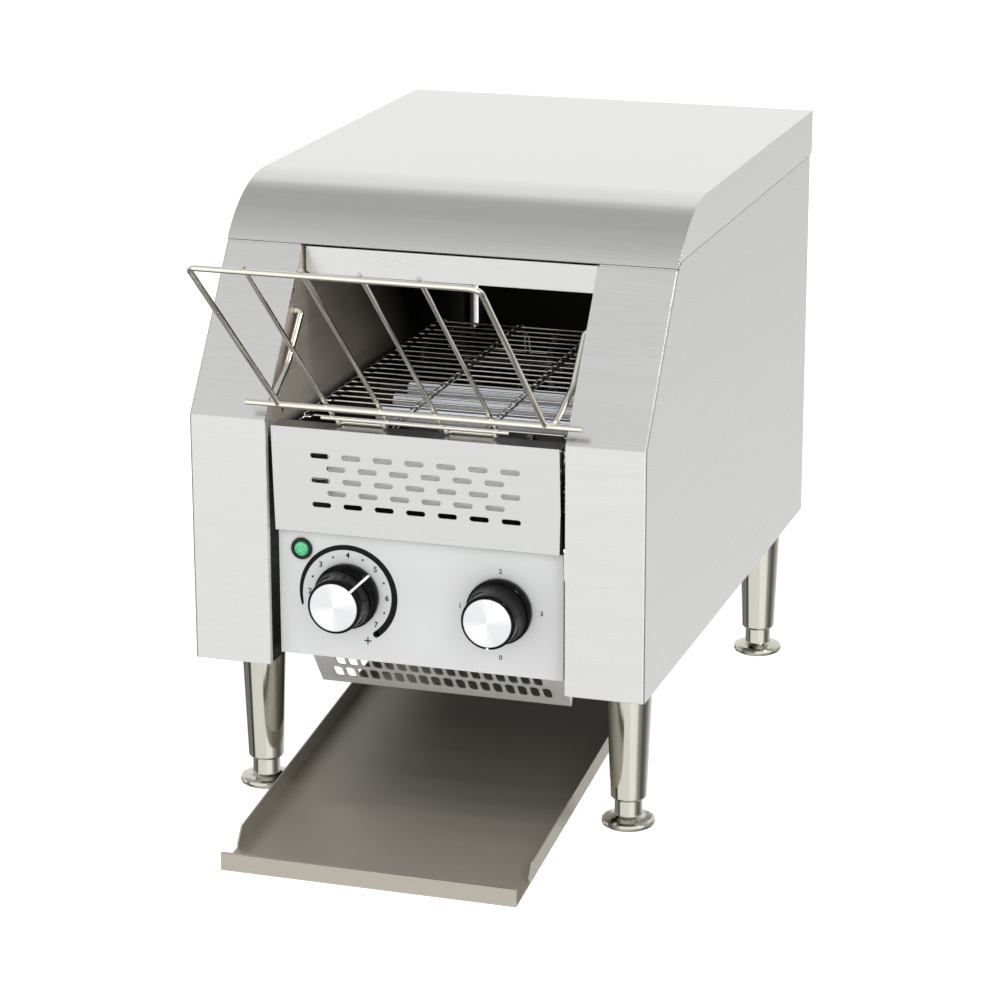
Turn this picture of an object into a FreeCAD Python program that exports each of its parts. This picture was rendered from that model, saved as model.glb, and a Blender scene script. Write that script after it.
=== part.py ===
import FreeCAD, Part
import Sketcher
import math
import os

# Conveyor toaster, single lane, countertop model. Millimetres, +Z up, +X to the
# right as the user faces the front, -Y towards the user. Origin: bottom centre
# of the overall box, on the surface that the feet stand on.

V = FreeCAD.Vector
doc = FreeCAD.newDocument("conveyor_toaster")
sheet = doc.addObject("Spreadsheet::Sheet", "dims")


class Q:
    """A length with its value and the expression that drives it."""

    def __init__(self, v, t):
        self.v = float(v)
        self.t = t

    def __add__(self, o):
        o = q(o)
        return Q(self.v + o.v, "(%s + %s)" % (self.t, o.t))

    def __radd__(self, o):
        return q(o) + self

    def __sub__(self, o):
        o = q(o)
        return Q(self.v - o.v, "(%s - %s)" % (self.t, o.t))

    def __rsub__(self, o):
        return q(o) - self

    def __mul__(self, o):
        o = q(o)
        return Q(self.v * o.v, "(%s * %s)" % (self.t, o.t))

    def __rmul__(self, o):
        return q(o) * self

    def __truediv__(self, o):
        o = q(o)
        return Q(self.v / o.v, "(%s / %s)" % (self.t, o.t))

    def __rtruediv__(self, o):
        return q(o) / self

    def __neg__(self):
        return Q(-self.v, "(0 - %s)" % self.t)


def q(x):
    if isinstance(x, Q):
        return x
    return Q(x, "(%.6f)" % float(x))


def root(x):
    return Q(math.sqrt(x.v), "sqrt(%s)" % x.t)


row = [0]


def dim(name, value, note=""):
    row[0] += 1
    n = row[0]
    sheet.set("A%d" % n, name)
    sheet.set("B%d" % n, "%.6f" % value)
    sheet.set("C%d" % n, note)
    sheet.setAlias("B%d" % n, name)
    return Q(value, "dims.%s" % name)


# ---------------------------------------------------------------- dimensions
shift_y = dim("shift_y", 146.811, "front face of the columns to the middle of the box")
body_width = dim("body_width", 288.0, "outer width")
column_width = dim("column_width", 49.4, "front column")
sheet_thick = dim("sheet_thick", 1.0, "sheet thickness")
fold_radius = dim("fold_radius", 1.8, "outer radius of the column folds")
bottom_z = dim("bottom_z", 99.5, "bottom edge of the side shells")
knee_z = dim("knee_z", 255.6, "where the column face starts to slope")
slope_y = dim("slope_y", 67.91, "lid front edge behind the column face")
slope_z = dim("slope_z", 350.34, "lid front edge height")
column_top = dim("column_top", 349.0, "top of the sloped column face")
top_z = dim("top_z", 383.4, "lid top")
lid_radius = dim("lid_radius", 82.8, "front curve of the lid")
lid_back = dim("lid_back", 425.6, "rear of the lid")
skirt_z = dim("skirt_z", 353.2, "bottom of the lid skirts")
lip_z = dim("lip_z", 355.8, "bottom of the lid rear lip")
body_back = dim("body_back", 419.7, "rear of the side shells")
side_top = dim("side_top", 352.8, "top of the side walls")
panel_half = dim("panel_half", 91.0, "half width of the front panels")
vent_top = dim("vent_top", 253.0, "top of the slotted panel")
vent_bottom = dim("vent_bottom", 185.8, "bottom of the slotted panel")
vent_lean = dim("vent_lean", 4.7, "how far the slotted panel leans back")
lip_depth = dim("lip_depth", 15.0, "depth of the slotted panel's top lip")
slot_long = dim("slot_long", 12.0, "vent slot length")
slot_high = dim("slot_high", 3.2, "vent slot height")
slot_pitch = dim("slot_pitch", 20.05, "vent slot pitch")
slot_row = dim("slot_row", 7.85, "vent row pitch")
slot_first = dim("slot_first", 235.8, "height of the first vent row")
fascia_y = dim("fascia_y", 10.0, "control panel face behind the columns")
fascia_bottom = dim("fascia_bottom", 105.0, "control panel bottom edge")
fascia_top = dim("fascia_top", 186.2, "control panel top edge")
box_depth = dim("box_depth", 32.0, "rear edge of the control panel's bottom return")
wall_x = dim("wall_x", 94.8, "inner face of the conveyor side plates")
belt_half = dim("belt_half", 87.5, "half width of the belt")
belt_pitch = dim("belt_pitch", 12.0, "rod pitch of the belt")
belt_rod = dim("belt_rod", 1.1, "rod radius of the belt")
belt_top = dim("belt_top", 248.0, "rod centres of the upper run")
front_axle_y = dim("front_axle_y", 46.0, "front shaft")
axle_gap = dim("axle_gap", 252.0, "distance between the shafts")
axle_radius = dim("axle_radius", 5.0, "shaft radius")
chain_pitch = dim("chain_pitch", 6.35, "drive chain pitch")
chain_gap = dim("chain_gap", 88.9, "distance of the chain sprockets")
header_y = dim("header_y", 71.0, "header panel face")
header_bottom = dim("header_bottom", 331.0, "header panel bottom edge")
knob_x_speed = dim("knob_x_speed", -46.3, "speed knob centre")
knob_x_mode = dim("knob_x_mode", 51.3, "selector knob centre")
knob_z = dim("knob_z", 146.5, "knob centre height")
knob_skirt = dim("knob_skirt", 20.5, "knob skirt radius")
knob_grip = dim("knob_grip", 17.0, "knob grip radius")
knob_tall = dim("knob_tall", 25.5, "knob height")
knob_cap = dim("knob_cap", 15.1, "metal cap radius")
lamp_x = dim("lamp_x", -76.0, "pilot lamp centre")
lamp_z = dim("lamp_z", 173.5, "pilot lamp centre height")
leg_x = dim("leg_x", 120.2, "leg centre")
leg_front = dim("leg_front", 53.8, "front leg centre")
leg_rear = dim("leg_rear", 394.2, "rear leg centre")
leg_top_radius = dim("leg_top_radius", 14.5, "leg radius at the top")
leg_low_radius = dim("leg_low_radius", 11.4, "leg radius at the bottom")
foot_radius = dim("foot_radius", 16.9, "foot flange radius")
foot_stem = dim("foot_stem", 8.8, "foot stem radius")
tray_half = dim("tray_half", 92.9, "half width of the tray")
tray_front = dim("tray_front", -91.1, "front of the tray")
tray_back = dim("tray_back", 340.0, "rear of the tray")
tray_slope = dim("tray_slope", 0.12633, "rise of the tray per length")
tray_wall = dim("tray_wall", 11.5, "height of the tray's side flanges")
tray_lip = dim("tray_lip", 11.0, "height of the tray's front lip")
grille_half = dim("grille_half", 82.0, "half width of the perforated apron")
wire_radius = dim("wire_radius", 1.8, "rack frame wire radius")
rod_radius = dim("rod_radius", 1.4, "rack inner rod radius")
rack_half = dim("rack_half", 83.7, "half width of the rack at its lower bar")
arm_half = dim("arm_half", 88.6, "side arms at the lower bar")
arm_spread = dim("arm_spread", 90.5, "side arms at the pivot")
arm_radius = dim("arm_radius", 2.0, "wire radius of the side arms and lower bar")
pin_radius = dim("pin_radius", 1.75, "radius of the stop pins")
rack_top_y = dim("rack_top_y", -129.4, "rack top bar")
rack_top_z = dim("rack_top_z", 378.3, "rack top bar height")
rack_low_y = dim("rack_low_y", -4.3, "rack lower bar")
rack_low_z = dim("rack_low_z", 267.7, "rack lower bar height")
pivot_y = dim("pivot_y", 54.0, "rack pivot")
pivot_z = dim("pivot_z", 311.0, "rack pivot height")
doc.recompute()

half = body_width / 2
thick = sheet_thick
roles = {"XY": "XY_Plane", "XZ": "XZ_Plane", "YZ": "YZ_Plane"}
finals = []


# ------------------------------------------------------------------ helpers
def bind_base(obj, x, y, z):
    """Place an object; y is given from the column face."""
    x, y, z = q(x), q(y) - shift_y, q(z)
    rot = obj.Placement.Rotation
    obj.Placement = FreeCAD.Placement(V(x.v, y.v, z.v), rot)
    obj.setExpression("Placement.Base.x", x.t)
    obj.setExpression("Placement.Base.y", y.t)
    obj.setExpression("Placement.Base.z", z.t)


def new_body(label, x, y, z, rotation=None):
    b = doc.addObject("PartDesign::Body", label)
    b.Label = label
    if rotation is not None:
        b.Placement = FreeCAD.Placement(V(0, 0, 0), rotation)
    bind_base(b, x, y, z)
    return b


def plane_of(body, plane):
    for f in body.Origin.OriginFeatures:
        if f.Role == roles[plane]:
            return f
    raise RuntimeError("no plane " + plane)


def new_sketch(body, plane, off, name):
    sk = body.newObject("Sketcher::SketchObject", name)
    sk.AttachmentSupport = [(plane_of(body, plane), "")]
    sk.MapMode = "FlatFace"
    off = q(off)
    sk.AttachmentOffset = FreeCAD.Placement(V(0, 0, off.v), FreeCAD.Rotation())
    sk.setExpression("AttachmentOffset.Base.z", off.t)
    return sk


def pin_point(sk, cons, exprs, geo, pos, u, v):
    for axis, val, other in (("DistanceX", u, -2), ("DistanceY", v, -1)):
        if abs(val.v) < 1e-9:
            cons.append(Sketcher.Constraint("PointOnObject", geo, pos, other))
            exprs.append(None)
        else:
            cons.append(Sketcher.Constraint(axis, -1, 1, geo, pos, val.v))
            exprs.append(val.t)


def add_path(sk, pts):
    """Closed outline. A point is (u, v) for a straight side that leads to the
    next point, or (u, v, radius, centre_u, centre_v, ccw) for an arc."""
    n = len(pts)
    base = len(sk.Geometry)
    geos = []
    cons = []
    exprs = []
    vals = [(q(p[0]), q(p[1])) for p in pts]
    for i, p in enumerate(pts):
        a = V(vals[i][0].v, vals[i][1].v, 0)
        j = (i + 1) % n
        b = V(vals[j][0].v, vals[j][1].v, 0)
        if len(p) == 2:
            geos.append(Part.LineSegment(a, b))
        else:
            rad, cu, cv, ccw = q(p[2]), q(p[3]), q(p[4]), p[5]
            c = V(cu.v, cv.v, 0)
            a1 = math.atan2(a.y - c.y, a.x - c.x)
            a2 = math.atan2(b.y - c.y, b.x - c.x)
            circle = Part.Circle(c, V(0, 0, 1), rad.v)
            if ccw:
                geos.append(Part.ArcOfCircle(circle, a1, a2))
            else:
                geos.append(Part.ArcOfCircle(circle, a2, a1))
    sk.addGeometry(geos, False)

    def start(i):
        return 2 if (len(pts[i]) > 2 and not pts[i][5]) else 1

    def end(i):
        return 1 if (len(pts[i]) > 2 and not pts[i][5]) else 2

    for i in range(n):
        j = (i + 1) % n
        cons.append(Sketcher.Constraint("Coincident", base + i, end(i), base + j, start(j)))
        exprs.append(None)
    for i in range(n):
        pin_point(sk, cons, exprs, base + i, start(i), vals[i][0], vals[i][1])
        if len(pts[i]) > 2:
            chord = math.hypot(vals[(i + 1) % n][0].v - vals[i][0].v, vals[(i + 1) % n][1].v - vals[i][1].v)
            if chord > 1.98 * q(pts[i][2]).v:
                # half circle with an upright chord: its centre is fixed instead
                cu = q(pts[i][3])
                cons.append(Sketcher.Constraint("DistanceX", -1, 1, base + i, 3, cu.v))
                exprs.append(cu.t)
            else:
                cons.append(Sketcher.Constraint("Radius", base + i, q(pts[i][2]).v))
                exprs.append(q(pts[i][2]).t)
    first = sk.ConstraintCount
    sk.addConstraint(cons)
    for k, e in enumerate(exprs):
        if e is not None:
            sk.setExpression("Constraints[%d]" % (first + k), e)


def add_circle(sk, u, v, r):
    u, v, r = q(u), q(v), q(r)
    g = len(sk.Geometry)
    sk.addGeometry(Part.Circle(V(u.v, v.v, 0), V(0, 0, 1), r.v), False)
    cons = [Sketcher.Constraint("Radius", g, r.v)]
    exprs = [r.t]
    pin_point(sk, cons, exprs, g, 3, u, v)
    first = sk.ConstraintCount
    sk.addConstraint(cons)
    for k, e in enumerate(exprs):
        if e is not None:
            sk.setExpression("Constraints[%d]" % (first + k), e)


def rect(u0, v0, u1, v1):
    return [(u0, v0), (u1, v0), (u1, v1), (u0, v1)]


def rounded(u, v, w, h, r):
    """Rounded rectangle centred at u, v."""
    u, v, w, h, r = q(u), q(v), q(w) / 2, q(h) / 2, q(r)
    return [
        (u - w + r, v - h),
        (u + w - r, v - h, r, u + w - r, v - h + r, True),
        (u + w, v - h + r),
        (u + w, v + h - r, r, u + w - r, v + h - r, True),
        (u + w - r, v + h),
        (u - w + r, v + h, r, u - w + r, v + h - r, True),
        (u - w, v + h - r),
        (u - w, v - h + r, r, u - w + r, v - h + r, True),
    ]


def slot(u, v, length, r):
    """Horizontal slot with round ends."""
    u, v, r = q(u), q(v), q(r)
    s = q(length) / 2 - r
    return [
        (u - s, v - r),
        (u + s, v - r, r, u + s, v, True),
        (u + s, v + r),
        (u - s, v + r, r, u - s, v, True),
    ]


counter = [0]


def uid(prefix):
    counter[0] += 1
    return "%s_%03d" % (prefix, counter[0])


def draw(sk, shapes):
    for s in shapes:
        if s[0] == "circle":
            add_circle(sk, s[1], s[2], s[3])
        else:
            add_path(sk, s)


def pad(body, plane, shapes, a, b):
    """Material between a and b along the plane's axis."""
    a, b = q(a), q(b)
    sk = new_sketch(body, plane, (-b) if plane == "XZ" else a, uid("outline"))
    draw(sk, shapes)
    f = body.newObject("PartDesign::Pad", uid("pad"))
    f.Profile = sk
    f.Length = (b - a).v
    f.setExpression("Length", (b - a).t)
    body.Tip = f
    return f


def pocket(body, plane, shapes, a, b):
    """Remove material between a and b along the plane's axis."""
    a, b = q(a), q(b)
    sk = new_sketch(body, plane, (-a) if plane == "XZ" else b, uid("cutout"))
    draw(sk, shapes)
    f = body.newObject("PartDesign::Pocket", uid("pocket"))
    f.Profile = sk
    f.Length = (b - a).v
    f.setExpression("Length", (b - a).t)
    body.Tip = f
    return f


def pattern(body, feature, sketch_axis, pitch, count):
    """Repeat a feature along its sketch's horizontal or vertical axis."""
    p = body.newObject("PartDesign::LinearPattern", uid("pattern"))
    p.Originals = [feature]
    p.Direction = (feature.Profile[0], [sketch_axis])
    p.Occurrences = count
    if hasattr(p, "Mode"):
        try:
            p.Mode = "length"
        except Exception:
            pass
    span = q(pitch) * (count - 1)
    p.Length = span.v
    p.setExpression("Length", span.t)
    body.Tip = p
    return p


def revolve(body, pts, groove=False, plane="XY"):
    """Revolve an outline given as (radius, height) about the vertical sketch axis."""
    sk = new_sketch(body, plane, 0, uid("profile"))
    draw(sk, [pts])
    f = body.newObject("PartDesign::Groove" if groove else "PartDesign::Revolution", uid("turned"))
    f.Profile = sk
    f.ReferenceAxis = (sk, ["V_Axis"])
    f.Angle = 360.0
    body.Tip = f
    return f


def done(obj, label=None):
    if label is not None:
        obj.Label = label
    finals.append(obj)
    return obj


def box(name, x0, y0, z0, x1, y1, z1):
    o = doc.addObject("Part::Box", uid(name))
    x0, y0, z0, x1, y1, z1 = [q(c) for c in (x0, y0, z0, x1, y1, z1)]
    for prop, d in (("Length", x1 - x0), ("Width", y1 - y0), ("Height", z1 - z0)):
        setattr(o, prop, d.v)
        o.setExpression(prop, d.t)
    bind_base(o, x0, y0, z0)
    return o


along = {
    "x": FreeCAD.Rotation(V(0, 1, 0), 90),
    "y": FreeCAD.Rotation(V(1, 0, 0), -90),
    "z": FreeCAD.Rotation(),
}


def cyl(name, axis, x, y, z, r, length):
    """Cylinder that starts at x, y, z and runs along +axis."""
    o = doc.addObject("Part::Cylinder", uid(name))
    r, length = q(r), q(length)
    o.Radius = r.v
    o.Height = length.v
    o.setExpression("Radius", r.t)
    o.setExpression("Height", length.t)
    o.Placement = FreeCAD.Placement(V(0, 0, 0), along[axis])
    bind_base(o, x, y, z)
    return o


def cut(name, base, tool):
    o = doc.addObject("Part::Cut", uid(name))
    o.Base = base
    o.Tool = tool
    return o


def join(name, parts):
    o = doc.addObject("Part::MultiFuse", uid(name))
    o.Shapes = parts
    return o


def group(name, parts):
    o = doc.addObject("Part::Compound", uid(name))
    o.Links = parts
    return o


def wire_path(points, radii):
    """A path of straight runs joined by tangent arcs."""
    edges = []
    pts = [V(*p) for p in points]
    last = pts[0]
    for i in range(1, len(pts) - 1):
        p, a, b = pts[i], pts[i - 1], pts[i + 1]
        d1 = (a - p).normalize()
        d2 = (b - p).normalize()
        ang = d1.getAngle(d2)
        cutlen = radii[i - 1] / math.tan(ang / 2)
        s = p + d1 * cutlen
        e = p + d2 * cutlen
        bis = (d1 + d2).normalize()
        centre = p + bis * (radii[i - 1] / math.sin(ang / 2))
        mid = centre - bis * radii[i - 1]
        if (s - last).Length > 1e-6:
            edges.append(Part.LineSegment(last, s).toShape())
        edges.append(Part.Arc(s, mid, e).toShape())
        last = e
    edges.append(Part.LineSegment(last, pts[-1]).toShape())
    return Part.Wire(edges)


def bent_wire(points, radii, r):
    """Round wire along the path, as a solid."""
    path = wire_path(points, radii)
    d = (V(*points[1]) - V(*points[0])).normalize()
    ring = Part.Wire(Part.Circle(V(*points[0]), d, r).toShape())
    pipe = path.makePipeShell([ring], True, True, 2)
    s = pipe if pipe.ShapeType == "Solid" else pipe.Solids[0]
    want = math.pi * r * r * path.Length
    if abs(s.Volume - want) > 0.02 * want:
        raise RuntimeError("wire volume %.1f, wanted %.1f" % (s.Volume, want))
    return s


def feature(label, shape):
    o = doc.addObject("Part::Feature", label)
    o.Label = label
    o.Shape = shape
    o.Placement = FreeCAD.Placement(V(0, -shift_y.v, 0), FreeCAD.Rotation()).multiply(shape.Placement)
    return o


# ------------------------------------------------- slope of the column faces
rise = slope_z - knee_z
slope_len = root(slope_y * slope_y + rise * rise)
dir_y = slope_y / slope_len
dir_z = rise / slope_len


def slope_at(z, inset=0.0):
    """y of the sloped face, moved inwards by inset, at height z."""
    inset = q(inset)
    return inset * dir_z + (q(z) - (knee_z - inset * dir_y)) * (slope_y / rise)


def knee_at(inset):
    """Height where the face moved inwards meets the vertical face moved inwards."""
    inset = q(inset)
    return knee_z - inset * dir_y + (inset - inset * dir_z) * (rise / slope_y)


# ---------------------------------------------------------------- side shells
def round_folds(b, x_face):
    """Round the two outer folds between the column faces and the side wall."""
    doc.recompute()
    tip = b.Tip
    found = []
    for i, e in enumerate(tip.Shape.Edges):
        if len(e.Vertexes) != 2 or e.Length < 30.0:
            continue
        ends = [v.Point for v in e.Vertexes]
        if any(abs(p.x - q(x_face).v) > 0.01 for p in ends):
            continue
        heights = [p.z + bottom_z.v for p in ends]
        if all(abs(p.y) < 0.01 for p in ends):
            found.append("Edge%d" % (i + 1))
        elif all(z > knee_z.v - 0.01 and abs(p.y - slope_at(z).v) < 0.05 for p, z in zip(ends, heights)):
            found.append("Edge%d" % (i + 1))
    if len(found) != 2:
        raise RuntimeError("%d fold edges on %s" % (len(found), b.Label))
    f = b.newObject("PartDesign::Fillet", uid("fold"))
    f.Base = (tip, found)
    f.Radius = fold_radius.v
    f.setExpression("Radius", fold_radius.t)
    b.Tip = f
    doc.recompute()


def side_shell(label, right):
    x0 = (half - column_width) if right else -half
    b = new_body(label, x0, 0, bottom_z)
    cw = column_width
    kz, ct, st = knee_z - bottom_z, column_top - bottom_z, side_top - bottom_z

    def span(lo, hi):
        # distances are counted from the outer face
        return (cw - hi, cw - lo) if right else (lo, hi)

    a, c = span(q(0), thick)
    pad(b, "YZ", [[(q(0), q(0)), (body_back, q(0)), (body_back, st),
                   (slope_at(column_top, 1.6) + 5.0, st), (slope_at(column_top, 1.6), ct),
                   (slope_at(column_top), ct), (q(0), kz)]], a, c)
    # the folded column: vertical face and sloped face
    pad(b, "YZ", [[(q(0), q(0)), (thick, q(0)), (thick, knee_at(thick) - bottom_z),
                   (slope_at(column_top, thick), ct), (slope_at(column_top), ct), (q(0), kz)]],
        q(0), cw)
    # bottom flange, rear flange and the tab behind the lid skirt
    a, c = span(q(0), q(8))
    pad(b, "YZ", [rect(thick - 0.5, q(0), body_back, thick)], a, c)
    a, c = span(q(0), q(12))
    pad(b, "YZ", [rect(body_back - thick, q(0), body_back, st)], a, c)
    a, c = span(thick + 0.3, thick * 2 + 0.3)
    pad(b, "YZ", [rect(q(100), st - 8.0, q(408), st + 19.0)], a, c)
    a, c = span(thick - 0.4, thick * 2 + 0.3)
    pad(b, "YZ", [rect(q(100), st - 8.0, q(408), st - 4.0)], a, c)
    round_folds(b, cw if right else 0.0)
    return done(b)


side_shell("left_side_shell", False)
side_shell("right_side_shell", True)

# ------------------------------------------------------------------ top cover
lid_y0, lid_z0 = q(60), q(340)
drop = top_z - slope_z
arc_y = slope_y + root(2 * lid_radius * drop - drop * drop)
arc_z = top_z - lid_radius
inner_r = lid_radius - thick
k = inner_r / lid_radius
in_y = arc_y + (slope_y - arc_y) * k
in_z = arc_z + (slope_z - arc_z) * k
b = new_body("top_cover", -half, lid_y0, lid_z0)
pad(b, "YZ", [[
    (slope_y - lid_y0, slope_z - lid_z0, lid_radius, arc_y - lid_y0, arc_z - lid_z0, False),
    (arc_y - lid_y0, top_z - lid_z0),
    (lid_back - lid_y0, top_z - lid_z0),
    (lid_back - lid_y0, lip_z - lid_z0),
    (lid_back - thick - lid_y0, lip_z - lid_z0),
    (lid_back - thick - lid_y0, top_z - thick - lid_z0),
    (arc_y - lid_y0, top_z - thick - lid_z0, inner_r, arc_y - lid_y0, arc_z - lid_z0, True),
    (in_y - lid_y0, in_z - lid_z0),
]], q(0), body_width)
sk_y = arc_y - root(lid_radius * lid_radius - (skirt_z - arc_z) * (skirt_z - arc_z))
for a, c in ((q(0), thick), (body_width - thick, body_width)):
    pad(b, "YZ", [[
        (sk_y - lid_y0, skirt_z - lid_z0, lid_radius, arc_y - lid_y0, arc_z - lid_z0, False),
        (arc_y - lid_y0, top_z - lid_z0),
        (lid_back - lid_y0, top_z - lid_z0),
        (lid_back - lid_y0, lip_z - lid_z0),
        (lid_back - 3.2 - lid_y0, skirt_z - lid_z0),
    ]], a, c)
done(b)

# ----------------------------------------------------------------- rear panel
rp_half = half - 1.5
b = new_body("rear_panel", -rp_half, body_back, 0)
pad(b, "XZ", [rect(q(0), q(102), rp_half * 2, q(379))], q(0), thick)
for x in (30.0, 172.5):
    p = pocket(b, "XZ", [slot(q(x) + 40.0, q(215), 80.0, 2.0)], q(0), thick)
    pattern(b, p, "V_Axis", 12.0, 9)
pocket(b, "XZ", [("circle", rp_half - 115.0, q(135), q(8.1))], q(0), thick)
pocket(b, "XZ", [("circle", rp_half + s * 136.0, q(z), q(2.1)) for s in (-1, 1) for z in (120, 220, 330)],
       q(0), thick)
done(b)

# ----------------------------------------------------------------- base plate
base_half = half - thick - 0.2
open_half = wall_x + thick + 0.2
b = new_body("base_plate", -base_half, 1.3, bottom_z + thick)
pad(b, "XY", [[(q(0), q(0)), (base_half - open_half, q(0)), (base_half - open_half, q(385)),
               (base_half + open_half, q(385)), (base_half + open_half, q(0)),
               (base_half * 2, q(0)), (base_half * 2, q(417.0)), (q(0), q(417.0))]], q(0), thick)
pocket(b, "XY", [("circle", base_half + s * leg_x, y - 1.3, q(4.3)) for s in (-1, 1)
                 for y in (leg_front, leg_rear)], q(0), thick)
done(b)

# --------------------------------------------------------------- header panel
hp_half = wall_x - 1.4
b = new_body("header_panel", -hp_half, header_y, 0)
pad(b, "XZ", [[(q(2.5), header_bottom), (hp_half * 2 - 2.5, header_bottom),
               (hp_half * 2, header_bottom + 1.8), (hp_half * 2, q(352)),
               (q(0), q(352)), (q(0), header_bottom + 1.8)]], q(0), thick)
pad(b, "YZ", [rect(q(0.5), q(351), q(12), q(352))], q(0), hp_half * 2)
done(b)

# --------------------------------------------------------- slotted front panel
b = new_body("front_vent_panel", -panel_half, 0, vent_bottom)
vh = vent_top - vent_bottom
pad(b, "YZ", [[
    (vent_lean, q(0)), (fascia_y - 0.4, q(0)), (fascia_y - 0.4, thick), (vent_lean + thick, thick),
    (thick, vh - thick), (lip_depth, vh - thick), (lip_depth, vh), (q(0), vh),
]], q(0), panel_half * 2)
r1 = slot_first - vent_bottom
p = pocket(b, "XZ", [slot(panel_half - slot_pitch * 3, r1 - slot_row * n, slot_long, slot_high / 2)
                     for n in (0, 2, 4)], q(-1), vent_lean + 2.0)
pattern(b, p, "H_Axis", slot_pitch, 7)
p = pocket(b, "XZ", [slot(panel_half - slot_pitch * 2.5, r1 - slot_row * n, slot_long, slot_high / 2)
                     for n in (1, 3)], q(-1), vent_lean + 2.0)
pattern(b, p, "H_Axis", slot_pitch, 6)
done(b)

# -------------------------------------------------------------- control panel
b = new_body("control_panel", -panel_half, fascia_y, fascia_bottom)
pad(b, "YZ", [[(q(0), q(0)), (box_depth - fascia_y, q(0)), (box_depth - fascia_y, thick),
               (thick, thick), (thick, fascia_top - fascia_bottom), (q(0), fascia_top - fascia_bottom)]],
    q(0), panel_half * 2)
pocket(b, "XZ", [("circle", panel_half + lamp_x, lamp_z - fascia_bottom, q(5.6)),
                 ("circle", panel_half + knob_x_speed, knob_z - fascia_bottom, q(3.6)),
                 ("circle", panel_half + knob_x_mode, knob_z - fascia_bottom, q(3.6))],
       q(0), thick)
done(b)

# --------------------------------------------------- perforated apron (grille)
tilt = FreeCAD.Rotation(V(1, 0, 0), math.degrees(math.asin(0.6)))
b = new_body("lower_grille", -grille_half, 57.4, 71.3, tilt)
pad(b, "XZ", [rect(q(0), q(0), grille_half * 2, q(41.6))], q(0), thick)
pad(b, "YZ", [[(q(0), q(0)), (q(6), q(3)), (q(6), q(38)), (q(0), q(41.6))]], q(0), thick)
pad(b, "YZ", [[(q(0), q(0)), (q(6), q(3)), (q(6), q(38)), (q(0), q(41.6))]],
    grille_half * 2 - thick, grille_half * 2)
p = pocket(b, "XZ", [rounded(grille_half - 8.06 * 8.5, 11.8, 6.0, 10.6, 2.3)], q(0), thick)
pattern(b, p, "H_Axis", 8.06, 18)
p = pocket(b, "XZ", [rounded(grille_half - 8.06 * 8.0, 24.6, 6.0, 10.6, 2.3)], q(0), thick)
pattern(b, p, "H_Axis", 8.06, 17)
done(b)

# ----------------------------------------------------------------- heat shield
done(box("heat_shield", -52.0, 9.0, 206.0, 88.0, 10.0, vent_top - thick), "heat_shield")

# ---------------------------------------------------- conveyor side plates
pitch_r = belt_pitch / (2 * math.sin(math.radians(15)))
axle_z = belt_top - pitch_r
rear_axle_y = front_axle_y + axle_gap
low_tubes = [(127.0, 229.0), (160.0, 229.0), (189.0, 229.0)]
top_tubes = [(120.0, 331.0), (180.0, 331.0), (240.0, 331.0)]


def wall_plate(label, right):
    b = new_body(label, wall_x if right else -wall_x - thick, 0, bottom_z)
    z0 = bottom_z
    pad(b, "YZ", [[(q(1.3), q(0)), (q(383), q(0)), (q(383), q(3.5)), (q(400), q(3.5)),
                   (q(400), 350.0 - z0), (q(73), 350.0 - z0), (slope_at(346.5, 1.4), 346.5 - z0),
                   (q(1.3), knee_at(1.4) - z0)]], q(0), thick)
    holes = [("circle", front_axle_y, axle_z - z0, q(8.05)),
             ("circle", rear_axle_y, axle_z - z0, q(8.05)),
             ("circle", pivot_y, pivot_z - z0, arm_radius + 0.5),
             ("circle", q(53.6), 323.7 - z0, q(1.8)),
             ("circle", q(31.0), 254.5 - z0, q(2.6))]
    for y, z in low_tubes + top_tubes:
        holes.append(("circle", q(y), z - z0, q(5.9)))
    pocket(b, "YZ", holes, q(0), thick)
    return done(b)


wall_plate("conveyor_side_plate_left", False)
wall_plate("conveyor_side_plate_right", True)

# ----------------------------------------------------------------- wire belt
def loop_points(pitch, sprocket_r, gap, steps):
    """Points of a chain or belt around two equal 12-tooth wheels. The wheels lie
    at u = 0 and u = gap; returns (u, v) with v across."""
    pts = []
    for i in range(steps + 1):
        pts.append((i * pitch, sprocket_r))
    for i in range(1, 6):
        a = math.radians(90 - 30 * i)
        pts.append((gap + sprocket_r * math.cos(a), sprocket_r * math.sin(a)))
    for i in range(steps + 1):
        pts.append((gap - i * pitch, -sprocket_r))
    for i in range(1, 6):
        a = math.radians(-90 - 30 * i)
        pts.append((sprocket_r * math.cos(a), sprocket_r * math.sin(a)))
    return pts


def race_track(gap, r0, r1):
    """Flat ring in the X-Y plane around two centres, from radius r0 to r1."""
    faces = []
    for r in (r1, r0):
        e = [Part.LineSegment(V(0, r, 0), V(gap, r, 0)).toShape(),
             Part.Arc(V(gap, r, 0), V(gap + r, 0, 0), V(gap, -r, 0)).toShape(),
             Part.LineSegment(V(gap, -r, 0), V(0, -r, 0)).toShape(),
             Part.Arc(V(0, -r, 0), V(-r, 0, 0), V(0, r, 0)).toShape()]
        faces.append(Part.Face(Part.Wire(e)))
    return faces[0].cut(faces[1])


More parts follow.
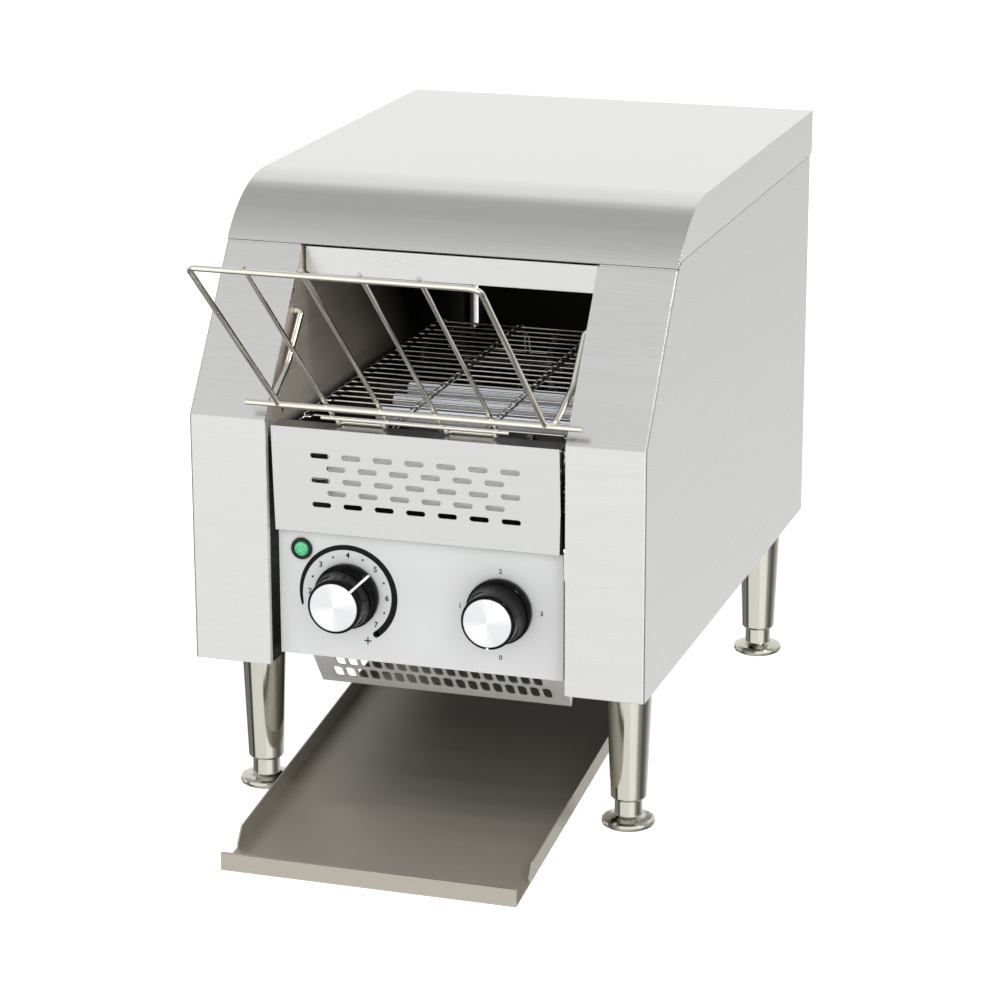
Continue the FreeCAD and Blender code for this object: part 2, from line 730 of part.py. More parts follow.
def mesh_belt():
    gap = axle_gap.v
    ring = race_track(gap, pitch_r.v - 1.5, pitch_r.v + 1.5)
    parts = []
    for x in (-86.0, -29.2, 29.2, 86.0):
        band = ring.extrude(V(0, 0, 3.0))
        # turn (u, v, w) into (y, z, x)
        band = band.transformGeometry(FreeCAD.Matrix(0, 0, 1, x - 1.5, 1, 0, 0, front_axle_y.v,
                                                     0, 1, 0, axle_z.v, 0, 0, 0, 1))
        parts.append(band)
    rods = []
    for u, v in loop_points(belt_pitch.v, pitch_r.v, gap, int(round(gap / belt_pitch.v))):
        rods.append(Part.makeCylinder(belt_rod.v, belt_half.v * 2,
                                      V(-belt_half.v, front_axle_y.v + u, axle_z.v + v), V(1, 0, 0)))
    whole = parts[0].multiFuse(parts[1:] + rods)
    solids = whole.Solids
    if len(solids) != 1:
        raise RuntimeError("the belt fell into %d pieces" % len(solids))
    return solids[0]


done(feature("mesh_belt", mesh_belt()))

# ---------------------------------------------------------- shafts, bearings
def bearing_pair(label, y):
    items = []
    for s in (-1, 1):
        lo = wall_x - 1.0
        x0 = lo if s > 0 else -(lo + 4.0)
        xf = (wall_x + thick) if s > 0 else -(wall_x + thick + 2.0)
        outer = join("bush", [cyl("bush", "x", x0, y, axle_z, 8.0, 4.0),
                              cyl("flange", "x", xf, y, axle_z, 11.0, 2.0)])
        items.append(cut("bush", outer, cyl("bore", "x", x0 - 1.0, y, axle_z, axle_radius + 0.05, 6.0)))
    return done(group(label, items), label)


bearing_pair("front_bearings", front_axle_y)
bearing_pair("rear_bearings", rear_axle_y)
done(cyl("front_shaft", "x", -100.0, front_axle_y, axle_z, axle_radius, 200.0), "front_shaft")
done(cyl("rear_shaft", "x", -100.0, rear_axle_y, axle_z, axle_radius, 231.0), "rear_shaft")


def wheel(r_tip, r_root, bore, width, x, y, z, teeth=12, hub=0.0, hub_len=0.0):
    """Toothed wheel on the X axis; gaps face the pins at multiples of 30 degrees."""
    pts = []
    for i in range(teeth):
        c = 360.0 / teeth * (i + 0.5)
        for d, r in ((-10.5, r_root), (-5.0, r_tip), (5.0, r_tip), (10.5, r_root)):
            a = math.radians(c + d)
            pts.append(V(0, r * math.cos(a), r * math.sin(a)))
    pts.append(pts[0])
    s = Part.Face(Part.makePolygon(pts)).extrude(V(width, 0, 0))
    if hub > 0:
        s = s.fuse(Part.makeCylinder(hub, hub_len, V(width / 2 - hub_len / 2, 0, 0), V(1, 0, 0)))
    s = s.cut(Part.makeCylinder(bore, 60, V(-30, 0, 0), V(1, 0, 0)))
    s.translate(V(x - width / 2, y, z))
    return s


belt_tip = pitch_r.v - belt_rod.v - 0.4
for label, y in (("front_belt_sprockets", front_axle_y), ("rear_belt_sprockets", rear_axle_y)):
    ws = [wheel(belt_tip, belt_tip - 3.6, axle_radius.v + 0.02, 4.0, x, y.v, axle_z.v, hub=9.0, hub_len=12.0)
          for x in (-57.6, 0.0, 57.6)]
    done(feature(label, Part.makeCompound(ws)))

# --------------------------------------------------------------- chain drive
chain_r = chain_pitch.v / (2 * math.sin(math.radians(15)))
motor_z = axle_z - chain_gap
chain_tip = chain_r - 1.65 - 0.35
done(feature("shaft_chain_sprocket", wheel(chain_tip, chain_tip - 1.5, axle_radius.v + 0.02, 2.4, 125.6,
                                           rear_axle_y.v, axle_z.v, hub=7.6, hub_len=7.0)))
done(feature("motor_sprocket", wheel(chain_tip, chain_tip - 1.5, 4.02, 2.4, 125.6,
                                     rear_axle_y.v, motor_z.v, hub=7.0, hub_len=7.0)))


def drive_chain():
    gap = chain_gap.v
    ring = race_track(gap, chain_r - 2.6, chain_r + 2.6)
    parts = []
    for x in (123.1, 127.3):
        band = ring.extrude(V(0, 0, 0.8))
        # the loop runs from the shaft down to the motor
        band = band.transformGeometry(FreeCAD.Matrix(0, 0, 1, x, 0, 1, 0, rear_axle_y.v,
                                                     -1, 0, 0, axle_z.v, 0, 0, 0, 1))
        parts.append(band)
    pins = []
    for u, v in loop_points(chain_pitch.v, chain_r, gap, int(round(gap / chain_pitch.v))):
        pins.append(Part.makeCylinder(1.65, 5.0, V(123.1, rear_axle_y.v + v, axle_z.v - u), V(1, 0, 0)))
    whole = parts[0].multiFuse(parts[1:] + pins)
    if len(whole.Solids) != 1:
        raise RuntimeError("the chain fell into %d pieces" % len(whole.Solids))
    return whole.Solids[0]


done(feature("drive_chain", drive_chain()))
gear_box = box("motor_gearbox", wall_x + thick, rear_axle_y - 60.0, motor_z - 26.0,
               wall_x + thick + 12.0, rear_axle_y + 20.0, motor_z + 26.0)
done(cut("motor_gearbox", gear_box, cyl("bore", "x", 100.0, rear_axle_y, motor_z, 4.05, 20.0)), "motor_gearbox")
done(cyl("drive_motor", "x", wall_x + thick + 12.0, rear_axle_y - 34.0, motor_z, 24.0, 14.0), "drive_motor")
done(cyl("motor_output_shaft", "x", 100.2, rear_axle_y, motor_z, 4.0, 30.8), "motor_output_shaft")

# -------------------------------------------------------------- heating parts
for label, tubes in (("lower", low_tubes), ("upper", top_tubes)):
    done(group("tubes", [cyl("tube", "x", -68.0, y, z, 4.5, 136.0) for y, z in tubes]), label + "_heater_tubes")
    caps = []
    for y, z in tubes:
        caps.append(cyl("cap", "x", -100.0, y, z, 5.6, 32.0))
        caps.append(cyl("cap", "x", 68.0, y, z, 5.6, 32.0))
    done(group("caps", caps), label + "_tube_caps")
done(box("lower_reflector", -wall_x, 82.0, 212.0, wall_x, 262.0, 213.0), "lower_reflector")
b = new_body("upper_reflector", -wall_x + 0.2, 84.0, 334.0)
pad(b, "YZ", [[(q(0), q(0)), (thick, q(0)), (thick, q(9)), (q(235), q(9)), (q(235), q(0)),
               (q(236), q(0)), (q(236), q(10)), (q(0), q(10))]], q(0), wall_x * 2 - 0.4)
done(b)
done(cyl("thermal_cutout", "x", -wall_x - thick - 10.0, 210.0, 290.0, 9.0, 10.0), "thermal_cutout")

# ---------------------------------------------------------------- toast chute
ch_y, ch_z, ch_r = 404.0, 222.0, 150.0
a55 = math.radians(55)
b = new_body("toast_chute", -wall_x + 0.6, 300.0, 80.0)


def chute_pt(r, extra=0.0):
    y = ch_y - ch_r + r * math.cos(a55) - extra * math.sin(a55)
    z = ch_z - r * math.sin(a55) - extra * math.cos(a55)
    return q(y - 300.0), q(z - 80.0)


oy, oz = chute_pt(ch_r)
ey, ez = chute_pt(ch_r, 24.0)
fy, fz = chute_pt(ch_r - 1.0, 24.0)
iy, iz = chute_pt(ch_r - 1.0)
cy, cz = q(ch_y - ch_r - 300.0), q(ch_z - 80.0)
pad(b, "YZ", [[
    (q(ch_y - 300.0), q(336.0 - 80.0)),
    (q(ch_y - 300.0), cz, q(ch_r), cy, cz, False),
    (oy, oz),
    (ey, ez),
    (fy, fz),
    (iy, iz, q(ch_r - 1.0), cy, cz, True),
    (q(ch_y - 301.0), cz),
    (q(ch_y - 301.0), q(336.0 - 80.0)),
]], q(0), wall_x * 2 - 1.2)
flange = [(q(92.0), q(110.0)), (q(99.3), q(110.0)), (q(ch_y - 300.5), cz), (q(ch_y - 300.5), q(256.0)),
          (q(92.0), q(256.0))]
pad(b, "YZ", [flange], q(0), thick)
pad(b, "YZ", [flange], wall_x * 2 - 2.2, wall_x * 2 - 1.2)
done(b)

# ----------------------------------------------------------- control internals
ctl = box("speed_controller", knob_x_speed - 18.0, fascia_y + 1.4, knob_z - 20.0,
          knob_x_speed + 18.0, fascia_y + 22.0, knob_z + 20.0)
done(cut("speed_controller", ctl, cyl("bore", "y", knob_x_speed, fascia_y, knob_z, 3.05, 20.0)), "speed_controller")
sel = join("switch", [cyl("switch", "y", knob_x_mode, fascia_y + 1.4, knob_z, 21.0, 12.0),
                      box("switch", knob_x_mode - 16.0, fascia_y + 13.4, knob_z - 16.0,
                          knob_x_mode + 16.0, fascia_y + 42.0, knob_z + 16.0)])
done(cut("selector_switch", sel, cyl("bore", "y", knob_x_mode, fascia_y, knob_z, 3.05, 24.0)), "selector_switch")
done(box("terminal_block", -136.0, 300.0, bottom_z + thick * 2, -112.0, 362.0, bottom_z + thick * 2 + 20.0),
     "terminal_block")

turn_front = FreeCAD.Rotation(V(1, 0, 0), 180)
b = new_body("pilot_lamp_bezel", lamp_x, fascia_y, lamp_z, turn_front)
revolve(b, [(q(4.6), q(-1)), (q(0), q(-1)), (q(0), q(-16)), (q(5.5), q(-16)), (q(5.5), q(0)),
            (q(6.9), q(0)), (q(6.9), q(1.4)), (q(6.1), q(2.2)), (q(4.9), q(2.2)), (q(4.6), q(1.8))])
done(b)
b = new_body("pilot_lamp_lens", lamp_x, fascia_y, lamp_z, turn_front)
revolve(b, [(q(0), q(-0.8)), (q(4.5), q(-0.8)), (q(4.5), q(1.4)), (q(3.4), q(2.6)), (q(0), q(3.2))])
done(b)

# --------------------------------------------------------------------- knobs
def knob(prefix, x):
    b = new_body(prefix + "_knob", x, fascia_y - 1.0, knob_z, turn_front)
    t = knob_tall
    g = knob_grip
    revolve(b, [
        (q(3.03), q(0)), (knob_skirt, q(0)), (knob_skirt, q(3.7)), (knob_skirt - 0.4, q(4.9)),
        (knob_skirt - 1.3, q(5.7)), (g + 1.2, q(7.6)), (g + 0.4, q(10.6)), (g, q(14.0)),
        (g, t - 1.0), (g - 0.7, t), (knob_cap + 0.1, t), (knob_cap + 0.1, t - 1.2),
        (q(0), t - 1.2), (q(0), t - 4.0), (q(3.03), t - 4.0)])
    done(b)
    b = new_body(prefix + "_knob_cap", x, fascia_y - 1.0, knob_z, turn_front)
    revolve(b, [(q(0), t - 1.2), (knob_cap, t - 1.2), (knob_cap, t + 0.1), (knob_cap - 0.5, t + 0.5),
                (q(0), t + 0.5)])
    done(b)


knob("speed", knob_x_speed)
knob("selector", knob_x_mode)
shaft_start = fascia_y - 1.0 - knob_tall + 5.0
done(cyl("speed_control_shaft", "y", knob_x_speed, shaft_start, knob_z, 3.0, q(28.5) - shaft_start),
     "speed_control_shaft")
done(cyl("selector_shaft", "y", knob_x_mode, shaft_start, knob_z, 3.0, q(32.5) - shaft_start), "selector_shaft")

# ------------------------------------------------------------- legs and feet
feet_at = [("front_left", -leg_x, leg_front), ("front_right", leg_x, leg_front),
           ("rear_left", -leg_x, leg_rear), ("rear_right", leg_x, leg_rear)]
leg_top = bottom_z + thick
leg_items = []
for label, x, y in feet_at:
    o = doc.addObject("Part::Cone", uid("leg"))
    for prop, d in (("Radius1", leg_low_radius), ("Radius2", leg_top_radius), ("Height", leg_top - 19.0)):
        setattr(o, prop, d.v)
        o.setExpression(prop, d.t)
    bind_base(o, x, y, 19.0)
    c = doc.addObject("Part::Cone", uid("shoulder"))
    for prop, d in (("Radius1", leg_low_radius - 1.3), ("Radius2", leg_low_radius), ("Height", q(1.6))):
        setattr(c, prop, d.v)
        c.setExpression(prop, d.t)
    bind_base(c, x, y, 17.4)
    leg_items.append(cut("leg", join("leg", [o, c]), cyl("bore", "z", x, y, 17.0, foot_stem + 0.07, 45.0)))
done(group("legs", leg_items), "legs")
for label, x, y in feet_at:
    b = new_body("foot_" + label, x, y, 0)
    revolve(b, [(q(0), q(0)), (foot_radius - 1.6, q(0)), (foot_radius - 0.3, q(1.0)), (foot_radius, q(2.4)),
                (foot_radius - 0.5, q(3.9)), (foot_radius - 2.2, q(4.9)), (foot_stem + 2.2, q(5.7)),
                (foot_stem, q(7.0)), (foot_stem, q(45)), (q(0), q(45))], plane="XZ")
    done(b)
bolts = []
for label, x, y in feet_at:
    nut = doc.addObject("Part::Prism", uid("nut"))
    nut.Polygon = 6
    nut.Circumradius = 7.5
    nut.Height = 6.5
    bind_base(nut, x, y, bottom_z + thick * 2)
    bolts.append(join("bolt", [cyl("stud", "z", x, y, leg_top, 4.0, 16.0), nut]))
done(group("leg_fixing_bolts", bolts), "leg_fixing_bolts")

# ------------------------------------------------------------------ toast tray
run = tray_back - tray_front
end_z = run * tray_slope
b = new_body("toast_tray", -tray_half, tray_front, 0)
pad(b, "YZ", [[(q(0), q(0)), (run, end_z), (run, end_z + thick), (q(2.0), thick + 2.0 * tray_slope),
               (thick, thick + 2.0 * tray_slope), (thick, tray_lip - 0.8), (q(2.4), tray_lip - 0.8),
               (q(2.4), tray_lip), (q(0), tray_lip)]], q(0), tray_half * 2)
f0 = q(26.0)
for a, c in ((q(0), thick), (tray_half * 2 - thick, tray_half * 2)):
    pad(b, "YZ", [[(f0, f0 * tray_slope), (run, end_z), (run, end_z + tray_wall),
                   (f0 + 7.0, (f0 + 7.0) * tray_slope + tray_wall), (f0, f0 * tray_slope + 3.5)]], a, c)
done(b)

# hanger that carries the rear of the tray
hang_y = q(296.0)
hang_z = (hang_y - tray_front) * tray_slope - 0.35
b = new_body("tray_support", -wall_x - 22.4, hang_y, 0)
w = (wall_x + 22.4) * 2
top = bottom_z + thick
pad(b, "XZ", [[(q(0), top - thick), (q(20), top - thick), (q(20), hang_z - thick), (w - 20.0, hang_z - thick),
               (w - 20.0, top - thick), (w, top - thick), (w, top), (w - 21.0, top), (w - 21.0, hang_z),
               (q(21), hang_z), (q(21), top), (q(0), top)]], q(0), q(10))
done(b)

# ---------------------------------------------------------- inlet and screws
gland = join("gland", [cyl("gland", "y", -115.0, body_back + thick, 135.0, 11.5, 1.8),
                       cyl("gland", "y", -115.0, body_back - 12.0, 135.0, 8.0, 16.4),
                       cyl("gland", "y", -115.0, body_back - 4.2, 135.0, 11.0, 3.0)])
done(cut("cord_gland", gland, cyl("bore", "y", -115.0, body_back - 20.0, 135.0, 4.0, 40.0)), "cord_gland")
screws = []
for s in (-1, 1):
    for z in (120.0, 220.0, 330.0):
        screws.append(join("screw", [cyl("head", "y", s * 136.0, body_back + thick, z, 3.6, 2.0),
                                     cyl("shank", "y", s * 136.0, body_back + 0.05, z, 1.95, 1.1)]))
done(group("rear_panel_screws", screws), "rear_panel_screws")

# ------------------------------------------------------------------ feed rack
run_y = rack_top_y.v - rack_low_y.v
run_z = rack_top_z.v - rack_low_z.v
rack_len = math.hypot(run_y, run_z)
along_y, along_z = run_y / rack_len, run_z / rack_len        # up the rack
over_y, over_z = along_z, -along_y                            # towards the toast side
w = wire_radius.v
aw = arm_radius.v
hx = rack_half.v
start = aw + 0.02
p_low = (rack_low_y.v + along_y * start, rack_low_z.v + along_z * start)
done(feature("rack_frame", bent_wire(
    [(-hx, p_low[0], p_low[1]), (-hx - 2.7, rack_top_y.v - 0.42, rack_top_z.v + 0.5),
     (hx + 0.6, rack_top_y.v, rack_top_z.v), (hx, p_low[0], p_low[1])], [4.6, 7.0], w)))
rods = []
lift = aw + rod_radius.v + 0.02
for i in range(4):
    x = -2.9 + 34.5 * (i - 1.5)
    a = V(x, rack_low_y.v + over_y * lift - along_y * 15.6, rack_low_z.v + over_z * lift - along_z * 15.6)
    d = V(0, along_y, along_z)
    rods.append(Part.makeCylinder(rod_radius.v, rack_len + 16.4, a, d))
done(feature("rack_rods", Part.makeCompound(rods)))
end_x = wall_x.v + 5.0
ax, sx = arm_half.v, arm_spread.v
py, pz = pivot_y.v, pivot_z.v


def arm(s):
    return [(s * end_x, py, pz), (s * sx, py, pz), (s * sx, 29.0, 283.3), (s * ax, rack_low_y.v, rack_low_z.v)]


arms = bent_wire(arm(-1) + list(reversed(arm(1))), [2.6, 16.0, 7.0, 7.0, 16.0, 2.6], aw)
done(feature("rack_side_arms", arms))
pins = []
for x0, x1 in ((-104.9, -83.0), (83.0, 106.2)):
    pin = Part.makeCylinder(pin_radius.v, x1 - x0, V(x0, rack_low_y.v + 0.2, rack_low_z.v - 0.22), V(1, 0, 0))
    left = pin.cut(arms)
    pins.append(max(left.Solids, key=lambda sol: sol.Volume))
done(feature("rack_stop_pins", Part.makeCompound(pins)))
r2 = 1.4
over = lift - rod_radius.v - r2 - 0.02
bar2_y = rack_low_y.v + over_y * over - along_y * 14.2
bar2_z = rack_low_z.v + over_z * over - along_z * 14.2
lip_hooks = Part.makeCylinder(r2, 118.6, V(-60.6, bar2_y, bar2_z), V(1, 0, 0))
hook_z = vent_top.v + 0.45 + r2
for x0, x1 in ((-50.6, -21.2), (17.9, 48.5)):
    yb, ye = bar2_y + 1.0, bar2_y + 7.2
    lip_hooks = lip_hooks.fuse(bent_wire([(x0, yb, bar2_z - 0.7), (x0, yb, hook_z), (x0, ye, hook_z),
                                          (x1, ye, hook_z), (x1, yb, hook_z), (x1, yb, bar2_z - 0.7)],
                                         [2.5, 2.6, 2.6, 2.5], r2))
if len(lip_hooks.Solids) != 1:
    raise RuntimeError("the lip hooks fell apart")
done(feature("rack_lip_hooks", lip_hooks.Solids[0]))

# ------------------------------------------------------------ check and write
doc.recompute()
bad = []
for o in doc.Objects:
    if any(s in ("Invalid", "Error") for s in o.State):
        bad.append("%s %s" % (o.Label, o.State))
for o in finals:
    if o.Shape.isNull() or not o.Shape.isValid():
        bad.append("%s has no valid shape" % o.Label)
    elif not o.Shape.Solids:
        bad.append("%s has no solid" % o.Label)
if bad:
    raise RuntimeError("; ".join(bad))

os.makedirs("parts", exist_ok=True)
box_all = FreeCAD.BoundBox()
for o in finals:
    o.Shape.exportStep("parts/%s.step" % o.Label)
    box_all.add(o.Shape.BoundBox)
    bb = o.Shape.BoundBox
    print("%-28s solids %2d volume %10.1f  x %7.1f %7.1f  y %7.1f %7.1f  z %7.1f %7.1f" % (
        o.Label, len(o.Shape.Solids), o.Shape.Volume, bb.XMin, bb.XMax, bb.YMin, bb.YMax, bb.ZMin, bb.ZMax))
print("nodes", len(finals))
print("box", box_all)
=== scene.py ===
import math

import bmesh
import bpy
from mathutils import Matrix, Vector


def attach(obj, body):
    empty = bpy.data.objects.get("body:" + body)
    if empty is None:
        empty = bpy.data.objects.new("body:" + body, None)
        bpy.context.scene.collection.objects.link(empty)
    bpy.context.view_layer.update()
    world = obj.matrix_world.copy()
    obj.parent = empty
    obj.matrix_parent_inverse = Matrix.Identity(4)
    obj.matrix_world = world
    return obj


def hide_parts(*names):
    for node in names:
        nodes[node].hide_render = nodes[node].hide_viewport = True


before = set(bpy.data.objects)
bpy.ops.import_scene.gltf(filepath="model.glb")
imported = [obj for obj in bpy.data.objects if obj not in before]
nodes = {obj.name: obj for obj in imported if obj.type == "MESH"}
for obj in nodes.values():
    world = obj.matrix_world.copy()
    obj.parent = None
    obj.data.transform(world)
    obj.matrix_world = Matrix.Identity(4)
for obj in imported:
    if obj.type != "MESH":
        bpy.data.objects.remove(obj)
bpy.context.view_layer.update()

# Lengths below are written in millimetres from the column faces, as in the CAD,
# and turned into metres in the part's frame by at().
BACK = 146.811
scene = bpy.context.scene


def at(x, y, z):
    return Vector((x / 1000.0, (y - BACK) / 1000.0, z / 1000.0))


# --------------------------------------------------------------------- camera
cam_data = bpy.data.cameras.new("camera")
cam = bpy.data.objects.new("camera", cam_data)
scene.collection.objects.link(cam)
cam_data.sensor_fit = "HORIZONTAL"
cam_data.sensor_width = 36.0
cam_data.lens = 36.0 * 3.3764
cam_data.clip_start = 0.05
cam_data.clip_end = 60.0
right = Vector((0.95245785, 0.30466288, -0.00213825))
down = Vector((0.08629669, -0.27650415, -0.95713026))
look = Vector((-0.29219329, 0.91144171, -0.28964995))
eye = at(639.5, -1825.5, 799.0)
cam.matrix_world = Matrix((
    (right.x, -down.x, -look.x, eye.x),
    (right.y, -down.y, -look.y, eye.y),
    (right.z, -down.z, -look.z, eye.z),
    (0, 0, 0, 1)))
scene.camera = cam
scene.view_settings.view_transform = "Standard"
scene.view_settings.look = "None"


# ------------------------------------------------------------------ materials
def shader(name):
    m = bpy.data.materials.new(name)
    m.use_nodes = True
    t = m.node_tree
    t.nodes.clear()
    out = t.nodes.new("ShaderNodeOutputMaterial")
    p = t.nodes.new("ShaderNodeBsdfPrincipled")
    t.links.new(p.outputs[0], out.inputs[0])
    return m, t, p


def node(t, kind, **inputs):
    n = t.nodes.new(kind)
    for k, v in inputs.items():
        n.inputs[k.replace("_", " ")].default_value = v
    return n


def mapped(t, scale, rot=(0, 0, 0)):
    tc = t.nodes.new("ShaderNodeTexCoord")
    mp = t.nodes.new("ShaderNodeMapping")
    mp.inputs["Scale"].default_value = scale
    mp.inputs["Rotation"].default_value = rot
    t.links.new(tc.outputs["Object"], mp.inputs["Vector"])
    return mp.outputs["Vector"]


def noise(t, vec, scale=1.0, detail=2.0, rough=0.5):
    n = t.nodes.new("ShaderNodeTexNoise")
    n.inputs["Scale"].default_value = scale
    n.inputs["Detail"].default_value = detail
    n.inputs["Roughness"].default_value = rough
    t.links.new(vec, n.inputs["Vector"])
    return n.outputs["Fac"]


def remap(t, val, lo, hi, a=0.3, b=0.7):
    n = t.nodes.new("ShaderNodeMapRange")
    n.inputs["From Min"].default_value = a
    n.inputs["From Max"].default_value = b
    n.inputs["To Min"].default_value = lo
    n.inputs["To Max"].default_value = hi
    t.links.new(val, n.inputs["Value"])
    return n.outputs["Result"]


def tone(t, val, dark, light):
    r = t.nodes.new("ShaderNodeValToRGB")
    r.color_ramp.elements[0].position = 0.3
    r.color_ramp.elements[1].position = 0.7
    r.color_ramp.elements[0].color = (*dark, 1)
    r.color_ramp.elements[1].color = (*light, 1)
    t.links.new(val, r.inputs["Fac"])
    return r.outputs["Color"]


def blend_values(t, a, b, fac=0.5):
    m = t.nodes.new("ShaderNodeMix")
    m.data_type = "FLOAT"
    m.inputs[0].default_value = fac
    t.links.new(a, m.inputs[2])
    t.links.new(b, m.inputs[3])
    return m.outputs[0]


def bump(t, p, height, strength, distance, radius=0.0):
    b = t.nodes.new("ShaderNodeBump")
    b.inputs["Strength"].default_value = strength
    b.inputs["Distance"].default_value = distance
    t.links.new(height, b.inputs["Height"])
    if radius > 0:
        e = t.nodes.new("ShaderNodeBevel")
        e.samples = 4
        e.inputs["Radius"].default_value = radius
        t.links.new(e.outputs["Normal"], b.inputs["Normal"])
    t.links.new(b.outputs["Normal"], p.inputs["Normal"])


def scaled(c, k):
    return tuple(min(1.0, v * k) for v in c)


def brushed(name, color, rough=0.3, spread=0.06, scale=(14, 14, 1100), coarse=(5, 5, 160), depth=0.00002,
            strength=0.25, vary=0.06, radius=0.0, metallic=1.0, aniso=0.0):
    """Brushed sheet: fine streaks, a slower change of tone, a little bump."""
    m, t, p = shader(name)
    fine = noise(t, mapped(t, scale), 1.0, 3.0, 0.6)
    slow = noise(t, mapped(t, coarse), 1.0, 2.0, 0.5)
    both = blend_values(t, fine, slow, 0.45)
    t.links.new(tone(t, both, scaled(color, 1 - vary), scaled(color, 1 + vary)), p.inputs["Base Color"])
    t.links.new(remap(t, both, rough - spread, rough + spread), p.inputs["Roughness"])
    p.inputs["Metallic"].default_value = metallic
    if aniso:
        p.inputs["Anisotropic"].default_value = aniso
    bump(t, p, fine, strength, depth, radius)
    return m


def plain(name, color, rough=0.4, metallic=0.0, grain=900.0, vary=0.05, spread=0.05, strength=0.2, depth=0.00003,
          coat=0.0, radius=0.0, spec=0.5):
    """Moulded or cast surface with fine grain."""
    m, t, p = shader(name)
    g = noise(t, mapped(t, (grain, grain, grain)), 1.0, 2.0, 0.5)
    s = noise(t, mapped(t, (30, 30, 30)), 1.0, 2.0, 0.5)
    both = blend_values(t, g, s, 0.5)
    t.links.new(tone(t, both, scaled(color, 1 - vary), scaled(color, 1 + vary)), p.inputs["Base Color"])
    t.links.new(remap(t, both, rough - spread, rough + spread), p.inputs["Roughness"])
    p.inputs["Metallic"].default_value = metallic
    p.inputs["Specular IOR Level"].default_value = spec
    if coat:
        p.inputs["Coat Weight"].default_value = coat
        p.inputs["Coat Roughness"].default_value = 0.08
    bump(t, p, g, strength, depth, radius)
    return m


steel = (0.645, 0.645, 0.637)
mats = {
    "body": brushed("steel_body", steel, 0.27, 0.04, strength=0.05, vary=0.035, radius=0.0004),
    "lid": brushed("steel_lid", (0.64, 0.638, 0.63), 0.16, 0.025, scale=(14, 1100, 1100), coarse=(4, 120, 120),
                   strength=0.08, vary=0.03, radius=0.0004),
    "front": brushed("steel_front", (0.64, 0.64, 0.632), 0.30, strength=0.05, vary=0.035, radius=0.0005),
    "apron": brushed("steel_apron", (0.70, 0.70, 0.68), 0.42, strength=0.08, radius=0.0004, metallic=0.6),
    "fascia": plain("fascia_film", (0.565, 0.574, 0.569), 0.5, grain=2200, vary=0.012, strength=0.05, radius=0.0006,
                    spec=0.35),
    "inner": brushed("steel_inner", (0.66, 0.59, 0.52), 0.45, 0.08, strength=0.2, vary=0.14,
                     metallic=0.72),
    "shield": brushed("steel_shield", (0.60, 0.60, 0.58), 0.42, 0.06),
    "reflector": brushed("steel_reflector", (0.30, 0.29, 0.27), 0.3, 0.08),
    "wire": plain("belt_wire", (0.90, 0.87, 0.80), 0.16, 1.0, 1500, 0.08, 0.05),
    "drive": plain("drive_steel", (0.14, 0.14, 0.14), 0.35, 1.0, 900, 0.08),
    "bronze": plain("bearing_bronze", (0.50, 0.36, 0.17), 0.4, 1.0, 900, 0.1),
    "motor": plain("motor_casing", (0.50, 0.50, 0.51), 0.45, 1.0, 700, 0.06),
    "tube": plain("quartz_tube", (0.85, 0.88, 0.95), 0.25, 0.0, 800, 0.03),
    "cap": plain("ceramic_cap", (0.015, 0.014, 0.013), 0.6, 0.0, 1200, 0.2),
    "black": plain("black_moulding", (0.012, 0.012, 0.012), 0.35, 0.0, 1500, 0.2, spec=0.3),
    "knob": plain("knob_gloss", (0.003, 0.003, 0.0033), 0.11, 0.0, 300, 0.2, 0.03, 0.05, spec=0.09),
    "lens": plain("lamp_lens", (0.03, 0.42, 0.17), 0.2, 0.0, 600, 0.1),
    "nickel": plain("nickel_leg", (0.54, 0.535, 0.47), 0.11, 1.0, 60, 0.02, 0.02, 0.02, radius=0.0004),
    "zinc": plain("zinc_screw", (0.62, 0.62, 0.60), 0.3, 1.0, 900, 0.06),
    "rack": plain("rack_chrome", (0.80, 0.775, 0.70), 0.09, 1.0, 300, 0.03, 0.02, 0.05),
    "tray": brushed("tray_steel", (0.43, 0.40, 0.345), 0.42, 0.05, scale=(14, 900, 900), coarse=(6, 90, 90),
                    strength=0.12, vary=0.06, metallic=0.85),
}


def add_glow(m, color, strength):
    for n in m.node_tree.nodes:
        if n.type == "BSDF_PRINCIPLED":
            n.inputs["Emission Color"].default_value = (*color, 1)
            n.inputs["Emission Strength"].default_value = strength


# painted shade: the inner plates' colour is mixed towards near-black towards the rear of the tunnel and below belt
# height, where shade falls
t = mats["inner"].node_tree
p = [n for n in t.nodes if n.type == "BSDF_PRINCIPLED"][0]
shade = t.nodes.new("ShaderNodeMix")
shade.data_type = "RGBA"
# near-black colour of the painted shade
shade.inputs[7].default_value = (0.012, 0.011, 0.010, 1)
old = p.inputs["Base Color"].links[0]
t.links.new(old.from_socket, shade.inputs[6])
sep = t.nodes.new("ShaderNodeSeparateXYZ")
tc = t.nodes.new("ShaderNodeTexCoord")
t.links.new(tc.outputs["Object"], sep.inputs[0])
rear_shade_depth = t.nodes.new("ShaderNodeMath")
rear_shade_depth.operation = "MULTIPLY_ADD"
t.links.new(sep.outputs["Z"], rear_shade_depth.inputs[0])
rear_shade_depth.inputs[1].default_value = 0.6
t.links.new(sep.outputs["Y"], rear_shade_depth.inputs[2])
painted_shade_amount = t.nodes.new("ShaderNodeMath")
painted_shade_amount.operation = "MAXIMUM"
t.links.new(remap(t, rear_shade_depth.outputs[0], 0.0, 1.0, 0.185, 0.275), painted_shade_amount.inputs[0])
t.links.new(remap(t, sep.outputs["Z"], 1.0, 0.0, 0.243, 0.249), painted_shade_amount.inputs[1])
t.links.new(painted_shade_amount.outputs[0], shade.inputs[0])
t.links.new(shade.outputs[2], p.inputs["Base Color"])

# painted light: the heater tubes are given a glow though they are not switched on
add_glow(mats["tube"], (0.84, 0.90, 1.0), 0.20)
